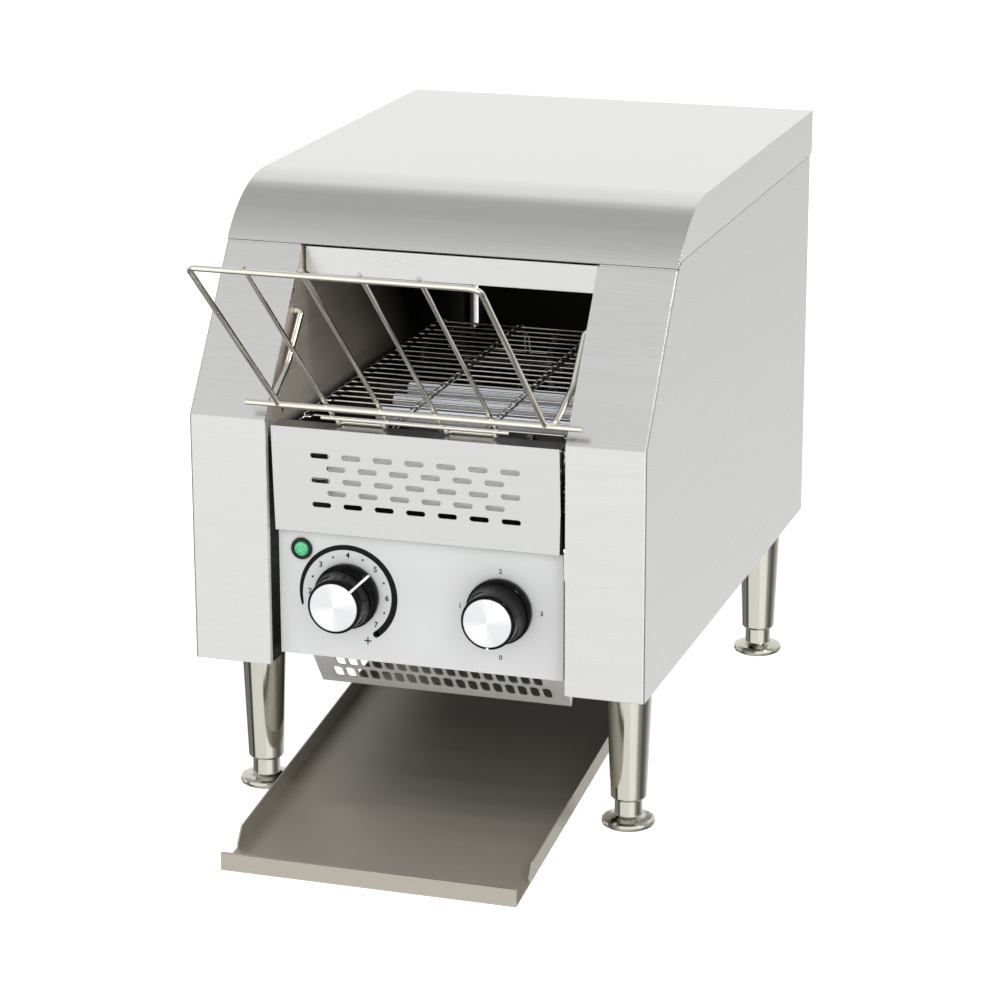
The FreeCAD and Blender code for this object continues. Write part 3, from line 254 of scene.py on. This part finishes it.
# the painted glow is strongest on upward faces, so the top of each tube is painted bright and its flanks dark
t = mats["tube"].node_tree
p = [n for n in t.nodes if n.type == "BSDF_PRINCIPLED"][0]
face = t.nodes.new("ShaderNodeNewGeometry")
sep = t.nodes.new("ShaderNodeSeparateXYZ")
t.links.new(face.outputs["Normal"], sep.inputs[0])
t.links.new(remap(t, sep.outputs["Z"], 0.02, 0.40, 0.25, 0.95), p.inputs["Emission Strength"])
# painted light: the heat shield seen through the vent slots is given a faint glow so it looks lit
add_glow(mats["shield"], (1.0, 0.99, 0.96), 0.20)

use = {
    "body": ["left_side_shell", "right_side_shell", "rear_panel", "base_plate"],
    "lid": ["top_cover"],
    "front": ["header_panel", "front_vent_panel", "speed_knob_cap", "selector_knob_cap"],
    "apron": ["lower_grille"],
    "fascia": ["control_panel"],
    "inner": ["conveyor_side_plate_left", "conveyor_side_plate_right", "toast_chute"],
    "shield": ["heat_shield"],
    "reflector": ["lower_reflector", "upper_reflector"],
    "wire": ["mesh_belt"],
    "drive": ["front_shaft", "rear_shaft", "front_belt_sprockets", "rear_belt_sprockets", "shaft_chain_sprocket",
              "motor_sprocket", "drive_chain", "motor_output_shaft", "speed_control_shaft", "selector_shaft"],
    "bronze": ["front_bearings", "rear_bearings"],
    "motor": ["drive_motor", "motor_gearbox"],
    "tube": ["lower_heater_tubes", "upper_heater_tubes"],
    "cap": ["lower_tube_caps", "upper_tube_caps"],
    "black": ["speed_controller", "selector_switch", "terminal_block", "thermal_cutout", "cord_gland",
              "pilot_lamp_bezel"],
    "knob": ["speed_knob", "selector_knob"],
    "lens": ["pilot_lamp_lens"],
    "nickel": ["legs", "foot_front_left", "foot_front_right", "foot_rear_left", "foot_rear_right"],
    "zinc": ["leg_fixing_bolts", "rear_panel_screws"],
    "rack": ["rack_frame", "rack_rods", "rack_side_arms", "rack_stop_pins", "rack_lip_hooks"],
    "tray": ["toast_tray", "tray_support"],
}
for key, names in use.items():
    for n in names:
        o = nodes[n]
        m = mats[key]
        if len(o.material_slots) == 0:
            o.data.materials.append(m)
        for s in o.material_slots:
            s.material = m


# -------------------------------------------------------------- mesh helpers
def add_mesh(name, verts, faces, mat, body, smooth=True, replaces=()):
    me = bpy.data.meshes.new(name)
    me.from_pydata([tuple(v) for v in verts], [], faces)
    me.validate()
    me.materials.append(mat)
    if smooth:
        for f in me.polygons:
            f.use_smooth = True
    o = bpy.data.objects.new(name, me)
    scene.collection.objects.link(o)
    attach(o, body)
    if replaces:
        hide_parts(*replaces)
    return o


def lathe(name, profile, origin, axis, mat, body, steps=96, replaces=(), cap=False):
    """Turned piece. profile holds (radius, height) in mm along the axis."""
    a = axis.normalized()
    u = a.orthogonal().normalized()
    v = a.cross(u)
    verts = []
    faces = []
    rings = []
    for r, h in profile:
        if r < 1e-6:
            rings.append([len(verts)])
            verts.append(origin + a * (h / 1000))
        else:
            ring = []
            for i in range(steps):
                w = 2 * math.pi * i / steps
                ring.append(len(verts))
                verts.append(origin + a * (h / 1000) + (u * math.cos(w) + v * math.sin(w)) * (r / 1000))
            rings.append(ring)
    for p, q in zip(rings, rings[1:]):
        for i in range(steps):
            j = (i + 1) % steps
            if len(p) == 1 and len(q) == 1:
                continue
            if len(p) == 1:
                faces.append((p[0], q[i], q[j]))
            elif len(q) == 1:
                faces.append((p[i], q[0], p[j]))
            else:
                faces.append((p[i], q[i], q[j], p[j]))
    return add_mesh(name, verts, faces, mat, body, True, replaces)


def arc_points(cx, cy, r, a0, a1, n):
    return [(cx + r * math.cos(math.radians(a0 + (a1 - a0) * i / n)),
             cy + r * math.sin(math.radians(a0 + (a1 - a0) * i / n))) for i in range(n + 1)]


def tube_mesh(name, paths, radius, mat, body, sides=8, replaces=(), closed=False):
    """Round wires along point lists (metres), as one mesh."""
    verts, faces = [], []
    for path in paths:
        pts = [Vector(p) for p in path]
        n = len(pts)
        base = len(verts)
        prev = None
        for i, p in enumerate(pts):
            if closed:
                d = (pts[(i + 1) % n] - pts[i - 1]).normalized()
            else:
                d = (pts[min(i + 1, n - 1)] - pts[max(i - 1, 0)]).normalized()
            if prev is None:
                u = d.orthogonal().normalized()
            else:
                u = (prev - d * prev.dot(d)).normalized()
            prev = u
            v = d.cross(u)
            for k in range(sides):
                w = 2 * math.pi * k / sides
                verts.append(p + (u * math.cos(w) + v * math.sin(w)) * radius)
        last = n if closed else n - 1
        for i in range(last):
            for k in range(sides):
                a = base + i * sides + k
                b = base + i * sides + (k + 1) % sides
                c = base + ((i + 1) % n) * sides + (k + 1) % sides
                e = base + ((i + 1) % n) * sides + k
                faces.append((a, e, c, b))
        if not closed:
            faces.append(tuple(base + k for k in range(sides)))
            faces.append(tuple(base + (n - 1) * sides + k for k in reversed(range(sides))))
    return add_mesh(name, verts, faces, mat, body, True, replaces)


def rounded_path(points, radius, n=4):
    """Corner rounding of a polyline in metres."""
    pts = [Vector(p) for p in points]
    out = [pts[0]]
    for a, p, b in zip(pts, pts[1:], pts[2:]):
        d1, d2 = (a - p), (b - p)
        if d1.length < 1e-9 or d2.length < 1e-9:
            continue
        cutoff = min(radius, d1.length * 0.45, d2.length * 0.45)
        s, e = p + d1.normalized() * cutoff, p + d2.normalized() * cutoff
        for i in range(n + 1):
            k = i / n
            out.append(s.lerp(p, k).lerp(p.lerp(e, k), k))
    out.append(pts[-1])
    return out


# ------------------------------------------------------------------ wire belt
R = 12.0 / (2 * math.sin(math.radians(15)))
AXLE_Z = 248.0 - R
FRONT_Y, GAP = 46.0, 252.0


def belt_loop():
    pts = [(i * 12.0, R) for i in range(22)]
    pts += [(GAP + R * math.cos(math.radians(90 - 30 * i)), R * math.sin(math.radians(90 - 30 * i)))
            for i in range(1, 6)]
    pts += [(GAP - i * 12.0, -R) for i in range(22)]
    pts += [(R * math.cos(math.radians(-90 - 30 * i)), R * math.sin(math.radians(-90 - 30 * i)))
            for i in range(1, 6)]
    return pts


loop = belt_loop()
count = len(loop)


def belt_point(i, ds, lift, x):
    """A point near wire i: ds in pitches along the belt, lift in mm outwards."""
    s = (i + ds) % count
    k = int(math.floor(s))
    f = s - k
    a, b = loop[k % count], loop[(k + 1) % count]
    u, v = a[0] + (b[0] - a[0]) * f, a[1] + (b[1] - a[1]) * f
    # outward direction from the middle line of the loop
    if u < 0:
        ox, oy = u, v
    elif u > GAP:
        ox, oy = u - GAP, v
    else:
        ox, oy = 0.0, v
    length = math.hypot(ox, oy)
    ox, oy = ox / length, oy / length
    return at(x, FRONT_Y + u + ox * lift, AXLE_Z + v + oy * lift)


WIRE = 0.70
belt_paths = []
for i in range(count):
    # the joints between the links wander a little along the belt
    f = min(loop[i][0], GAP) / GAP
    lj, rj = -25.0 - 3.2 * f, 31.6 - 6.2 * max(0.0, f)
    joint = [(-1.7, 0, 0), (-1.5, -0.96, 0.2), (-1.4, -1.1, 0.7), (0.0, -1.12, 1.3), (1.4, -1.1, 0.7),
             (1.5, -0.96, 0.2), (1.7, 0, 0)]
    edge = [(80.6, 0, 0.0), (81.6, -0.34, 0.8), (85.2, -0.36, 1.1), (86.4, -0.6, 0.9), (86.5, -0.98, 1.1),
            (86.0, -1.14, 0.2), (85.2, -1.0, -1.1), (84.9, -0.86, -0.4)]
    pts = [(-x, ds, lift) for x, ds, lift in reversed(edge)]
    pts += [(lj + x, ds, lift) for x, ds, lift in joint] + [(rj + x, ds, lift) for x, ds, lift in joint]
    pts += edge
    belt_paths.append(rounded_path([belt_point(i, ds, lift, x) for x, ds, lift in pts], 0.0012, 2))
tube_mesh("belt_wires", belt_paths, WIRE / 1000, mats["wire"], "toaster_body", 6,
          replaces=("mesh_belt",))

# ---------------------------------------------------------------------- knobs
FRONT = Vector((0, -1, 0))


def smooth_profile(points, n=6):
    """Catmull-Rom through (radius, height) points."""
    out = []
    for i in range(len(points) - 1):
        p0 = points[max(i - 1, 0)]
        p1, p2 = points[i], points[i + 1]
        p3 = points[min(i + 2, len(points) - 1)]
        for k in range(n):
            s = k / n
            out.append(tuple(0.5 * ((2 * b) + (c - a) * s + (2 * a - 5 * b + 4 * c - d) * s * s
                                    + (3 * b - a - 3 * c + d) * s ** 3)
                             for a, b, c, d in zip(p0, p1, p2, p3)))
    out.append(points[-1])
    return out


cap_mat, t, p = shader("spun_cap")
tc = t.nodes.new("ShaderNodeTexCoord")


def knob(prefix, x, z, angle, body):
    base = at(x, 9.0, z)
    sweep = smooth_profile([(20.2, 4.8), (19.2, 5.6), (18.2, 7.5), (17.4, 10.5), (17.0, 14.0), (16.95, 18.0),
                            (16.9, 22.6)], 5)
    prof = [(3.05, 0.0), (20.0, 0.0), (20.4, 0.3), (20.5, 0.9), (20.5, 3.4), (20.42, 4.3)] + sweep + [
        (16.85, 24.2), (16.6, 25.0), (16.1, 25.4), (15.2, 25.45), (15.15, 24.4), (0.0, 24.4)]
    lathe(prefix + "_grip", prof, base, FRONT, mats["knob"], body, 128,
          replaces=(prefix + "_knob",))
    disc = [(0.0, 24.5), (15.05, 24.5), (15.1, 25.5), (15.0, 25.75), (14.8, 25.9), (14.5, 25.93), (8.0, 25.97),
            (0.0, 26.0)]
    lathe(prefix + "_disc", disc, base, FRONT, cap_mat, body, 128, replaces=(prefix + "_knob_cap",))
    # pointer: a white bar let into the skirt and the grip
    a = math.radians(angle)
    dx, dz = math.cos(a), math.sin(a)
    px, pz = -dz, dx
    line = [(20.5, 1.2), (20.5, 3.4), (20.42, 4.3)] + [(r + 0.12, h) for r, h in sweep] + [(16.97, 24.2), (16.72, 25.05), (16.2, 25.5), (15.4, 25.52)]
    verts, faces = [], []
    for r, h in line:
        for s in (-0.75, 0.75):
            verts.append(base + Vector(((dx * r + px * s) / 1000, -h / 1000 - 0.00003, (dz * r + pz * s) / 1000)))
    for i in range(len(line) - 1):
        faces.append((2 * i, 2 * i + 1, 2 * i + 3, 2 * i + 2))
    add_mesh(prefix + "_pointer", verts, faces, mats["print_white"], body)


mats["print_white"] = plain("print_white", (0.85, 0.85, 0.84), 0.4, grain=2000, vary=0.02)
mats["print_black"] = plain("print_black", (0.008, 0.008, 0.009), 0.6, grain=2000, vary=0.2, spec=0.1)
mats["print_grey"] = plain("print_grey", (0.06, 0.06, 0.065), 0.6, grain=2000, vary=0.1, spec=0.1)

# spun aluminium: turning rings in roughness and bump, plus a painted highlight: a soft fan of lighter colour around
# each knob centre, standing in for the reflection on the turning marks
geo = t.nodes.new("ShaderNodeTexCoord")
sep = t.nodes.new("ShaderNodeSeparateXYZ")
t.links.new(geo.outputs["Object"], sep.inputs[0])


def math_node(t, op, a, b=None):
    n = t.nodes.new("ShaderNodeMath")
    n.operation = op
    for i, v in enumerate((a, b)):
        if v is None:
            continue
        if isinstance(v, (int, float)):
            n.inputs[i].default_value = v
        else:
            t.links.new(v, n.inputs[i])
    return n.outputs[0]


# distance and angle about the nearer knob centre (x = -46.3 or 51.3, z = 146.5)
mid = math_node(t, "GREATER_THAN", sep.outputs["X"], 0.0025)
cx = math_node(t, "ADD", math_node(t, "MULTIPLY", mid, 0.0976), -0.0463)
ux = math_node(t, "SUBTRACT", sep.outputs["X"], cx)
uz = math_node(t, "SUBTRACT", sep.outputs["Z"], 0.1465)
rad = math_node(t, "SQRT", math_node(t, "ADD", math_node(t, "MULTIPLY", ux, ux), math_node(t, "MULTIPLY", uz, uz)))
ang = math_node(t, "ARCTAN2", uz, ux)
rings = math_node(t, "SINE", math_node(t, "MULTIPLY", rad, 9000.0))
painted_fan = math_node(t, "COSINE", math_node(t, "MULTIPLY", math_node(t, "SUBTRACT", ang, 0.95), 2.0))
painted_fan_fine = math_node(t, "COSINE", math_node(t, "MULTIPLY", math_node(t, "SUBTRACT", ang, 0.4), 6.0))
fan_highlight = math_node(t, "ADD", math_node(t, "MULTIPLY", painted_fan, 0.35), math_node(t, "MULTIPLY", painted_fan_fine, 0.08))
fan_highlight = math_node(t, "ADD", math_node(t, "MULTIPLY", fan_highlight, 0.5), 0.5)
t.links.new(tone(t, fan_highlight, (0.66, 0.67, 0.68), (0.84, 0.84, 0.84)), p.inputs["Base Color"])
t.links.new(remap(t, rings, 0.34, 0.42, -1, 1), p.inputs["Roughness"])
p.inputs["Metallic"].default_value = 0.75
bump(t, p, rings, 0.15, 0.00002)

knob("speed", -46.3, 146.5, 45.0, "speed_dial")
knob("selector", 51.3, 146.5, -90.0, "mode_selector")

# ---------------------------------------------------------------- dial prints
PANEL = 9.93


def flat_mesh(name, outline, mat, body="toaster_body", depth=0.05):
    """Thin raised print on the control panel; outline in (x, z) mm."""
    verts = [at(x, PANEL - depth, z) for x, z in outline] + [at(x, PANEL + 0.06, z) for x, z in outline]
    n = len(outline)
    faces = [tuple(range(n)), tuple(reversed(range(n, 2 * n)))]
    faces += [(i, (i + 1) % n, n + (i + 1) % n, n + i) for i in range(n)]
    return add_mesh(name, verts, faces, mat, body, False)


KSX, KSZ = -46.3, 146.5
outer, inner = [], []
steps = 140
for i in range(steps + 1):
    a = 197.0 + (-53.5 - 197.0) * i / steps
    f = i / steps
    r_in = 30.8 - 3.1 * f ** 0.35
    outer.append((KSX + 31.8 * math.cos(math.radians(a)), KSZ + 31.8 * math.sin(math.radians(a))))
    inner.append((KSX + r_in * math.cos(math.radians(a)), KSZ + r_in * math.sin(math.radians(a))))
verts, faces = [], []
for (ax, az), (bx, bz) in zip(outer, inner):
    verts += [at(ax, PANEL - 0.05, az), at(bx, PANEL - 0.05, bz)]
for i in range(steps):
    faces.append((2 * i, 2 * i + 1, 2 * i + 3, 2 * i + 2))
ea = math.radians(-53.5)
ecx, ecz = KSX + 29.75 * math.cos(ea), KSZ + 29.75 * math.sin(ea)
start = len(verts)
verts.append(at(ecx, PANEL - 0.05, ecz))
for i in range(25):
    w = ea + math.pi * 2 * i / 24
    verts.append(at(ecx + 2.05 * math.cos(w), PANEL - 0.05, ecz + 2.05 * math.sin(w)))
for i in range(24):
    faces.append((start, start + 1 + i, start + 2 + i))
add_mesh("dial_crescent", verts, faces, mats["print_black"], "toaster_body", False)


def label(text, x, z, size, mat, name):
    cu = bpy.data.curves.new(name, "FONT")
    cu.body = text
    cu.size = size / 1000
    cu.align_x = "CENTER"
    cu.align_y = "CENTER"
    cu.extrude = 0.00003
    cu.offset = 0.00008
    tmp = bpy.data.objects.new(name + "_tmp", cu)
    scene.collection.objects.link(tmp)
    bpy.context.view_layer.update()
    me = bpy.data.meshes.new_from_object(tmp.evaluated_get(bpy.context.evaluated_depsgraph_get()))
    bpy.data.objects.remove(tmp)
    me.transform(Matrix.Translation(at(x, PANEL - 0.02, z)) @ Matrix.Rotation(math.radians(90), 4, "X"))
    me.materials.clear()
    me.materials.append(mat)
    o = bpy.data.objects.new(name, me)
    scene.collection.objects.link(o)
    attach(o, "toaster_body")
    return o


for n, deg in ((1, 225), (2, 180), (3, 135), (4, 90), (5, 45), (6, 0), (7, -45)):
    a = math.radians(deg)
    label(str(n), KSX + 25.0 * math.cos(a), KSZ + 25.0 * math.sin(a), 5.0, mats["print_black"], "dial_number_%d" % n)
for k, deg in enumerate((157.5, 112.5, 67.5, 22.5, -22.5)):
    a = math.radians(deg)
    flat_mesh("dial_dot_%d" % k, arc_points(KSX + 25.0 * math.cos(a), KSZ + 25.0 * math.sin(a), 0.65, 0, 345, 23),
              mats["print_black"])
for k, (w, h) in enumerate(((2.3, 0.36), (0.36, 2.3))):
    flat_mesh("dial_plus_%d" % k, [(-34.0 - w, 118 - h), (-34.0 + w, 118 - h), (-34.0 + w, 118 + h),
                                   (-34.0 - w, 118 + h)], mats["print_black"])
for text, x, z in (("2", 51.3, 170.8), ("1", 25.5, 146.5), ("3", 77.2, 146.5), ("0", 51.3, 116.0)):
    label(text, x, z, 4.2, mats["print_grey"], "mode_number_" + text)

# ---------------------------------------------------------------- pilot lamp
glow, t, p = shader("lamp_glow")
d = noise(t, mapped(t, (900, 900, 900)), 1.0, 1.0, 0.4)
t.links.new(tone(t, d, (0.02, 0.24, 0.10), (0.16, 0.55, 0.30)), p.inputs["Base Color"])
p.inputs["Roughness"].default_value = 0.18
p.inputs["Emission Color"].default_value = (0.10, 0.75, 0.35, 1)
p.inputs["Emission Strength"].default_value = 0.14
lamp = at(-76.0, 10.0, 173.5)
lathe("lamp_bezel", [(4.75, -1.0), (0.0, -1.0), (0.0, -1.0), (5.5, -1.0), (5.5, 0.0), (6.85, 0.0), (6.9, 0.5),
                     (6.8, 1.3), (6.45, 1.95), (5.9, 2.2), (5.3, 2.15), (4.95, 1.85), (4.75, 1.4), (4.75, 0.4)],
      lamp, FRONT, mats["black"], "toaster_body", 64, replaces=("pilot_lamp_bezel",))
lathe("lamp_lens", [(4.5, -0.6), (4.5, 1.4), (4.3, 1.75), (3.6, 2.2), (2.4, 2.75), (1.2, 3.05), (0, 3.15)], lamp,
      FRONT, glow, "toaster_body", 64, replaces=("pilot_lamp_lens",))

# ------------------------------------------------------------- chute corner
# painted highlight: the folded corner at the rear of the tunnel glows, most towards its inner edge, standing in for
# the light it would catch
corner_highlight, t, p = shader("chute_corner")
tc = t.nodes.new("ShaderNodeTexCoord")
sep = t.nodes.new("ShaderNodeSeparateXYZ")
t.links.new(tc.outputs["Object"], sep.inputs[0])
edge = remap(t, sep.outputs["X"], 0.0, 1.0, -0.0952, -0.0907)
edge = math_node(t, "POWER", edge, 1.8)
grain = remap(t, noise(t, mapped(t, (60, 60, 900)), 1.0, 2.0), 0.85, 1.1)
t.links.new(math_node(t, "MULTIPLY", math_node(t, "MULTIPLY", edge, grain), 1.15), p.inputs["Emission Strength"])
p.inputs["Emission Color"].default_value = (1.0, 0.98, 0.94, 1)
p.inputs["Base Color"].default_value = (0.2, 0.2, 0.19, 1)
t.links.new(remap(t, grain, 0.4, 0.5), p.inputs["Roughness"])
verts, faces = [], []
for k in range(8):
    a = math.radians(90.0 * k / 7)
    x, y = -94.1 + 3.4 * math.sin(a), 399.5 + 3.2 * (1 - math.cos(a))
    verts += [at(x, y, 196.0), at(x, y, 251.0)]
for k in range(7):
    faces.append((2 * k, 2 * k + 2, 2 * k + 3, 2 * k + 1))
add_mesh("chute_corner", verts, faces, corner_highlight, "toaster_body", True)

# ----------------------------------------------------- folded edges and gaps
def bar(name, outline, x0, x1, mat, soft=0.12, replaces=()):
    """A strip along x with softened edges; outline in (y, z) mm."""
    me = bpy.data.meshes.new(name)
    bm = bmesh.new()
    a = [bm.verts.new(at(x0, y, z)) for y, z in outline]
    b = [bm.verts.new(at(x1, y, z)) for y, z in outline]
    n = len(outline)
    bm.faces.new(a)
    bm.faces.new(list(reversed(b)))
    for i in range(n):
        bm.faces.new((a[i], b[i], b[(i + 1) % n], a[(i + 1) % n]))
    bmesh.ops.recalc_face_normals(bm, faces=bm.faces)
    if soft:
        bmesh.ops.bevel(bm, geom=bm.edges[:], offset=soft / 1000, segments=2, affect="EDGES", profile=0.5)
    bm.to_mesh(me)
    bm.free()
    me.materials.append(mat)
    o = bpy.data.objects.new(name, me)
    scene.collection.objects.link(o)
    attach(o, "toaster_body")
    if replaces:
        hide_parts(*replaces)
    return o


def slope_y(z, inset):
    """Depth of a point under the slanted column face."""
    return (z - 255.6) * 0.7168 + inset * 0.8126


# painted highlight: the left column's inner return is given a glow so its edge shows as a light line
edge_highlight_mat = brushed("steel_edge", (0.72, 0.72, 0.71), 0.32, 0.04, strength=0.04, vary=0.03)
add_glow(edge_highlight_mat, (1.0, 1.0, 0.98), 0.16)
flange_mat = brushed("steel_flange_shadow", (0.10, 0.10, 0.098), 0.45, 0.06, strength=0.05, vary=0.1)
bar("left_column_return", [(0.4, 99.8), (4.2, 99.8), (4.2, 254.0), (0.4, 254.0)], -94.8, -94.45, edge_highlight_mat,
    0.08)
bar("vent_panel_return", [(1.4, 187.0), (9.2, 187.0), (9.2, 252.4), (5.6, 252.4)], 90.75, 90.95, flange_mat,
    0.05)
bar("heat_shield_plate", [(9.0, 206.0), (10.0, 206.0), (10.0, 252.0), (9.0, 252.0)], -58.0, 88.0, mats["shield"],
    0.15, replaces=("heat_shield",))
shadow = plain("gap_shadow", (0.006, 0.006, 0.006), 0.7, grain=1500, vary=0.2, spec=0.05)
# painted shadow: a black strip behind the bottom row of vent slots stands in for the shade there
bar("heat_shield_lower_shadow_strip", [(9.2, 191.5), (9.8, 191.5), (9.8, 204.4), (9.2, 204.4)], -58.0, 88.0, shadow,
    0.08)
# painted shadow: a black strip under the lid's front edge stands in for the shade in the gap above the header
bar("header_gap_shadow_strip", [(70.6, 348.1), (70.9, 348.1), (70.9, 351.2), (70.6, 351.2)], -93.6, 93.2, shadow,
    0.05)
for side_name, x0, x1 in (("left", -143.4, -95.2), ("right", 95.2, 143.4)):
    bar("column_tongue_" + side_name, [(slope_y(z, i), z - i * 0.5824) for z, i in
                                       ((348.85, 0.45), (350.2, 0.45), (350.2, 1.3), (348.85, 1.3))],
        x0, x1, mats["body"], 0.06)

# ------------------------------------------------------------- floor and light
fm, t, p = shader("floor_pale")
g = noise(t, mapped(t, (6, 6, 6)), 1.0, 2.0, 0.5)
t.links.new(tone(t, g, (0.60, 0.60, 0.60), (0.62, 0.62, 0.62)), p.inputs["Base Color"])
p.inputs["Roughness"].default_value = 0.7
p.inputs["Specular IOR Level"].default_value = 0.1
p.inputs["Emission Color"].default_value = (1, 1, 1, 1)
p.inputs["Emission Strength"].default_value = 0.85
me = bpy.data.meshes.new("floor")
me.from_pydata([(-12, -8, 0), (12, -8, 0), (12, 16, 0), (-12, 16, 0)], [], [(0, 1, 2, 3)])
me.materials.append(fm)
floor = bpy.data.objects.new("floor", me)
floor.location.z = -0.0003
floor.visible_glossy = False
scene.collection.objects.link(floor)

world = bpy.data.worlds.new("studio")
scene.world = world
world.use_nodes = True
t = world.node_tree
t.nodes.clear()
out = t.nodes.new("ShaderNodeOutputWorld")
bg = t.nodes.new("ShaderNodeBackground")
t.links.new(bg.outputs[0], out.inputs[0])
tc = t.nodes.new("ShaderNodeTexCoord")
sep = t.nodes.new("ShaderNodeSeparateXYZ")
t.links.new(tc.outputs["Generated"], sep.inputs[0])


def curve(t, fac, stops, ease="EASE"):
    """Grey value over a 0..1 input. The stops are (position, value)."""
    r = t.nodes.new("ShaderNodeValToRGB")
    r.color_ramp.interpolation = ease
    e = r.color_ramp.elements
    top = max(v for _, v in stops)
    e[0].position, e[0].color = stops[0][0], (*(stops[0][1] / top,) * 3, 1)
    e[1].position, e[1].color = stops[-1][0], (*(stops[-1][1] / top,) * 3, 1)
    for pos, v in stops[1:-1]:
        n = e.new(pos)
        n.color = (*(v / top,) * 3, 1)
    t.links.new(fac, r.inputs["Fac"])
    return math_node(t, "MULTIPLY", r.outputs["Color"], top)


# brightness by height angle: 0 rear horizon (below), 0.5 front horizon, 0.75 zenith, 1 rear horizon (above)
turn = math_node(t, "ARCTAN2", sep.outputs["Z"], math_node(t, "MULTIPLY", sep.outputs["Y"], -1.0))
turn = math_node(t, "ADD", math_node(t, "DIVIDE", turn, 2 * math.pi), 0.5)
height = curve(t, turn, [(0.0, 0.72), (0.03, 0.82), (0.06, 1.0), (0.085, 1.0), (0.12, 0.40), (0.25, 0.24),
                         (0.35, 0.38), (0.392, 1.12), (0.44, 1.18), (0.475, 1.29), (0.52, 1.29), (0.58, 1.31),
                         (0.62, 1.10), (0.66, 0.86), (0.71, 0.69), (0.78, 0.555), (0.83, 0.56), (0.852, 0.70),
                         (0.876, 1.05), (1.0, 1.07)], "LINEAR")
# darker and lighter uprights around the object, only near the horizon and below
side = math_node(t, "ARCTAN2", sep.outputs["X"], math_node(t, "MULTIPLY", sep.outputs["Y"], -1.0))
side = math_node(t, "ADD", math_node(t, "DIVIDE", side, 2 * math.pi), 0.5)
stripes = curve(t, side, [(0.0, 1.0), (0.14, 1.0), (0.152, 0.22), (0.185, 0.22), (0.198, 1.0), (0.285, 1.0),
                          (0.297, 0.12), (0.335, 0.12), (0.348, 1.0), (0.45, 1.0), (0.55, 1.0), (0.565, 1.2),
                          (0.735, 1.2), (0.77, 0.48), (0.875, 0.48), (0.925, 1.0), (1.0, 1.0)], "LINEAR")
fade = remap(t, sep.outputs["Z"], 1.0, 0.0, 0.05, 0.32)
stripes = math_node(t, "ADD", math_node(t, "MULTIPLY", math_node(t, "SUBTRACT", stripes, 1.0), fade), 1.0)
t.links.new(math_node(t, "MULTIPLY", height, stripes), bg.inputs["Strength"])
bg.inputs["Color"].default_value = (1.0, 1.0, 1.0, 1)


def area(name, loc, target, size, size_y, power, color=(1, 1, 1)):
    d = bpy.data.lights.new(name, "AREA")
    d.shape = "RECTANGLE"
    d.size, d.size_y = size, size_y
    d.energy = power
    d.color = color
    o = bpy.data.objects.new(name, d)
    scene.collection.objects.link(o)
    o.location = loc
    o.rotation_euler = (Vector(target) - Vector(loc)).to_track_quat("-Z", "Y").to_euler()
    return o


area("key", (-1.4, -2.0, 2.2), (0, 0, 0.2), 1.4, 1.4, 9).visible_glossy = False
area("side", (1.6, -2.4, 1.7), (0, 0, 0.2), 1.2, 1.2, 11).visible_glossy = False
area("window", (1.45, -0.35, 1.98), (0, 0, 0.2), 0.24, 0.34, 16)
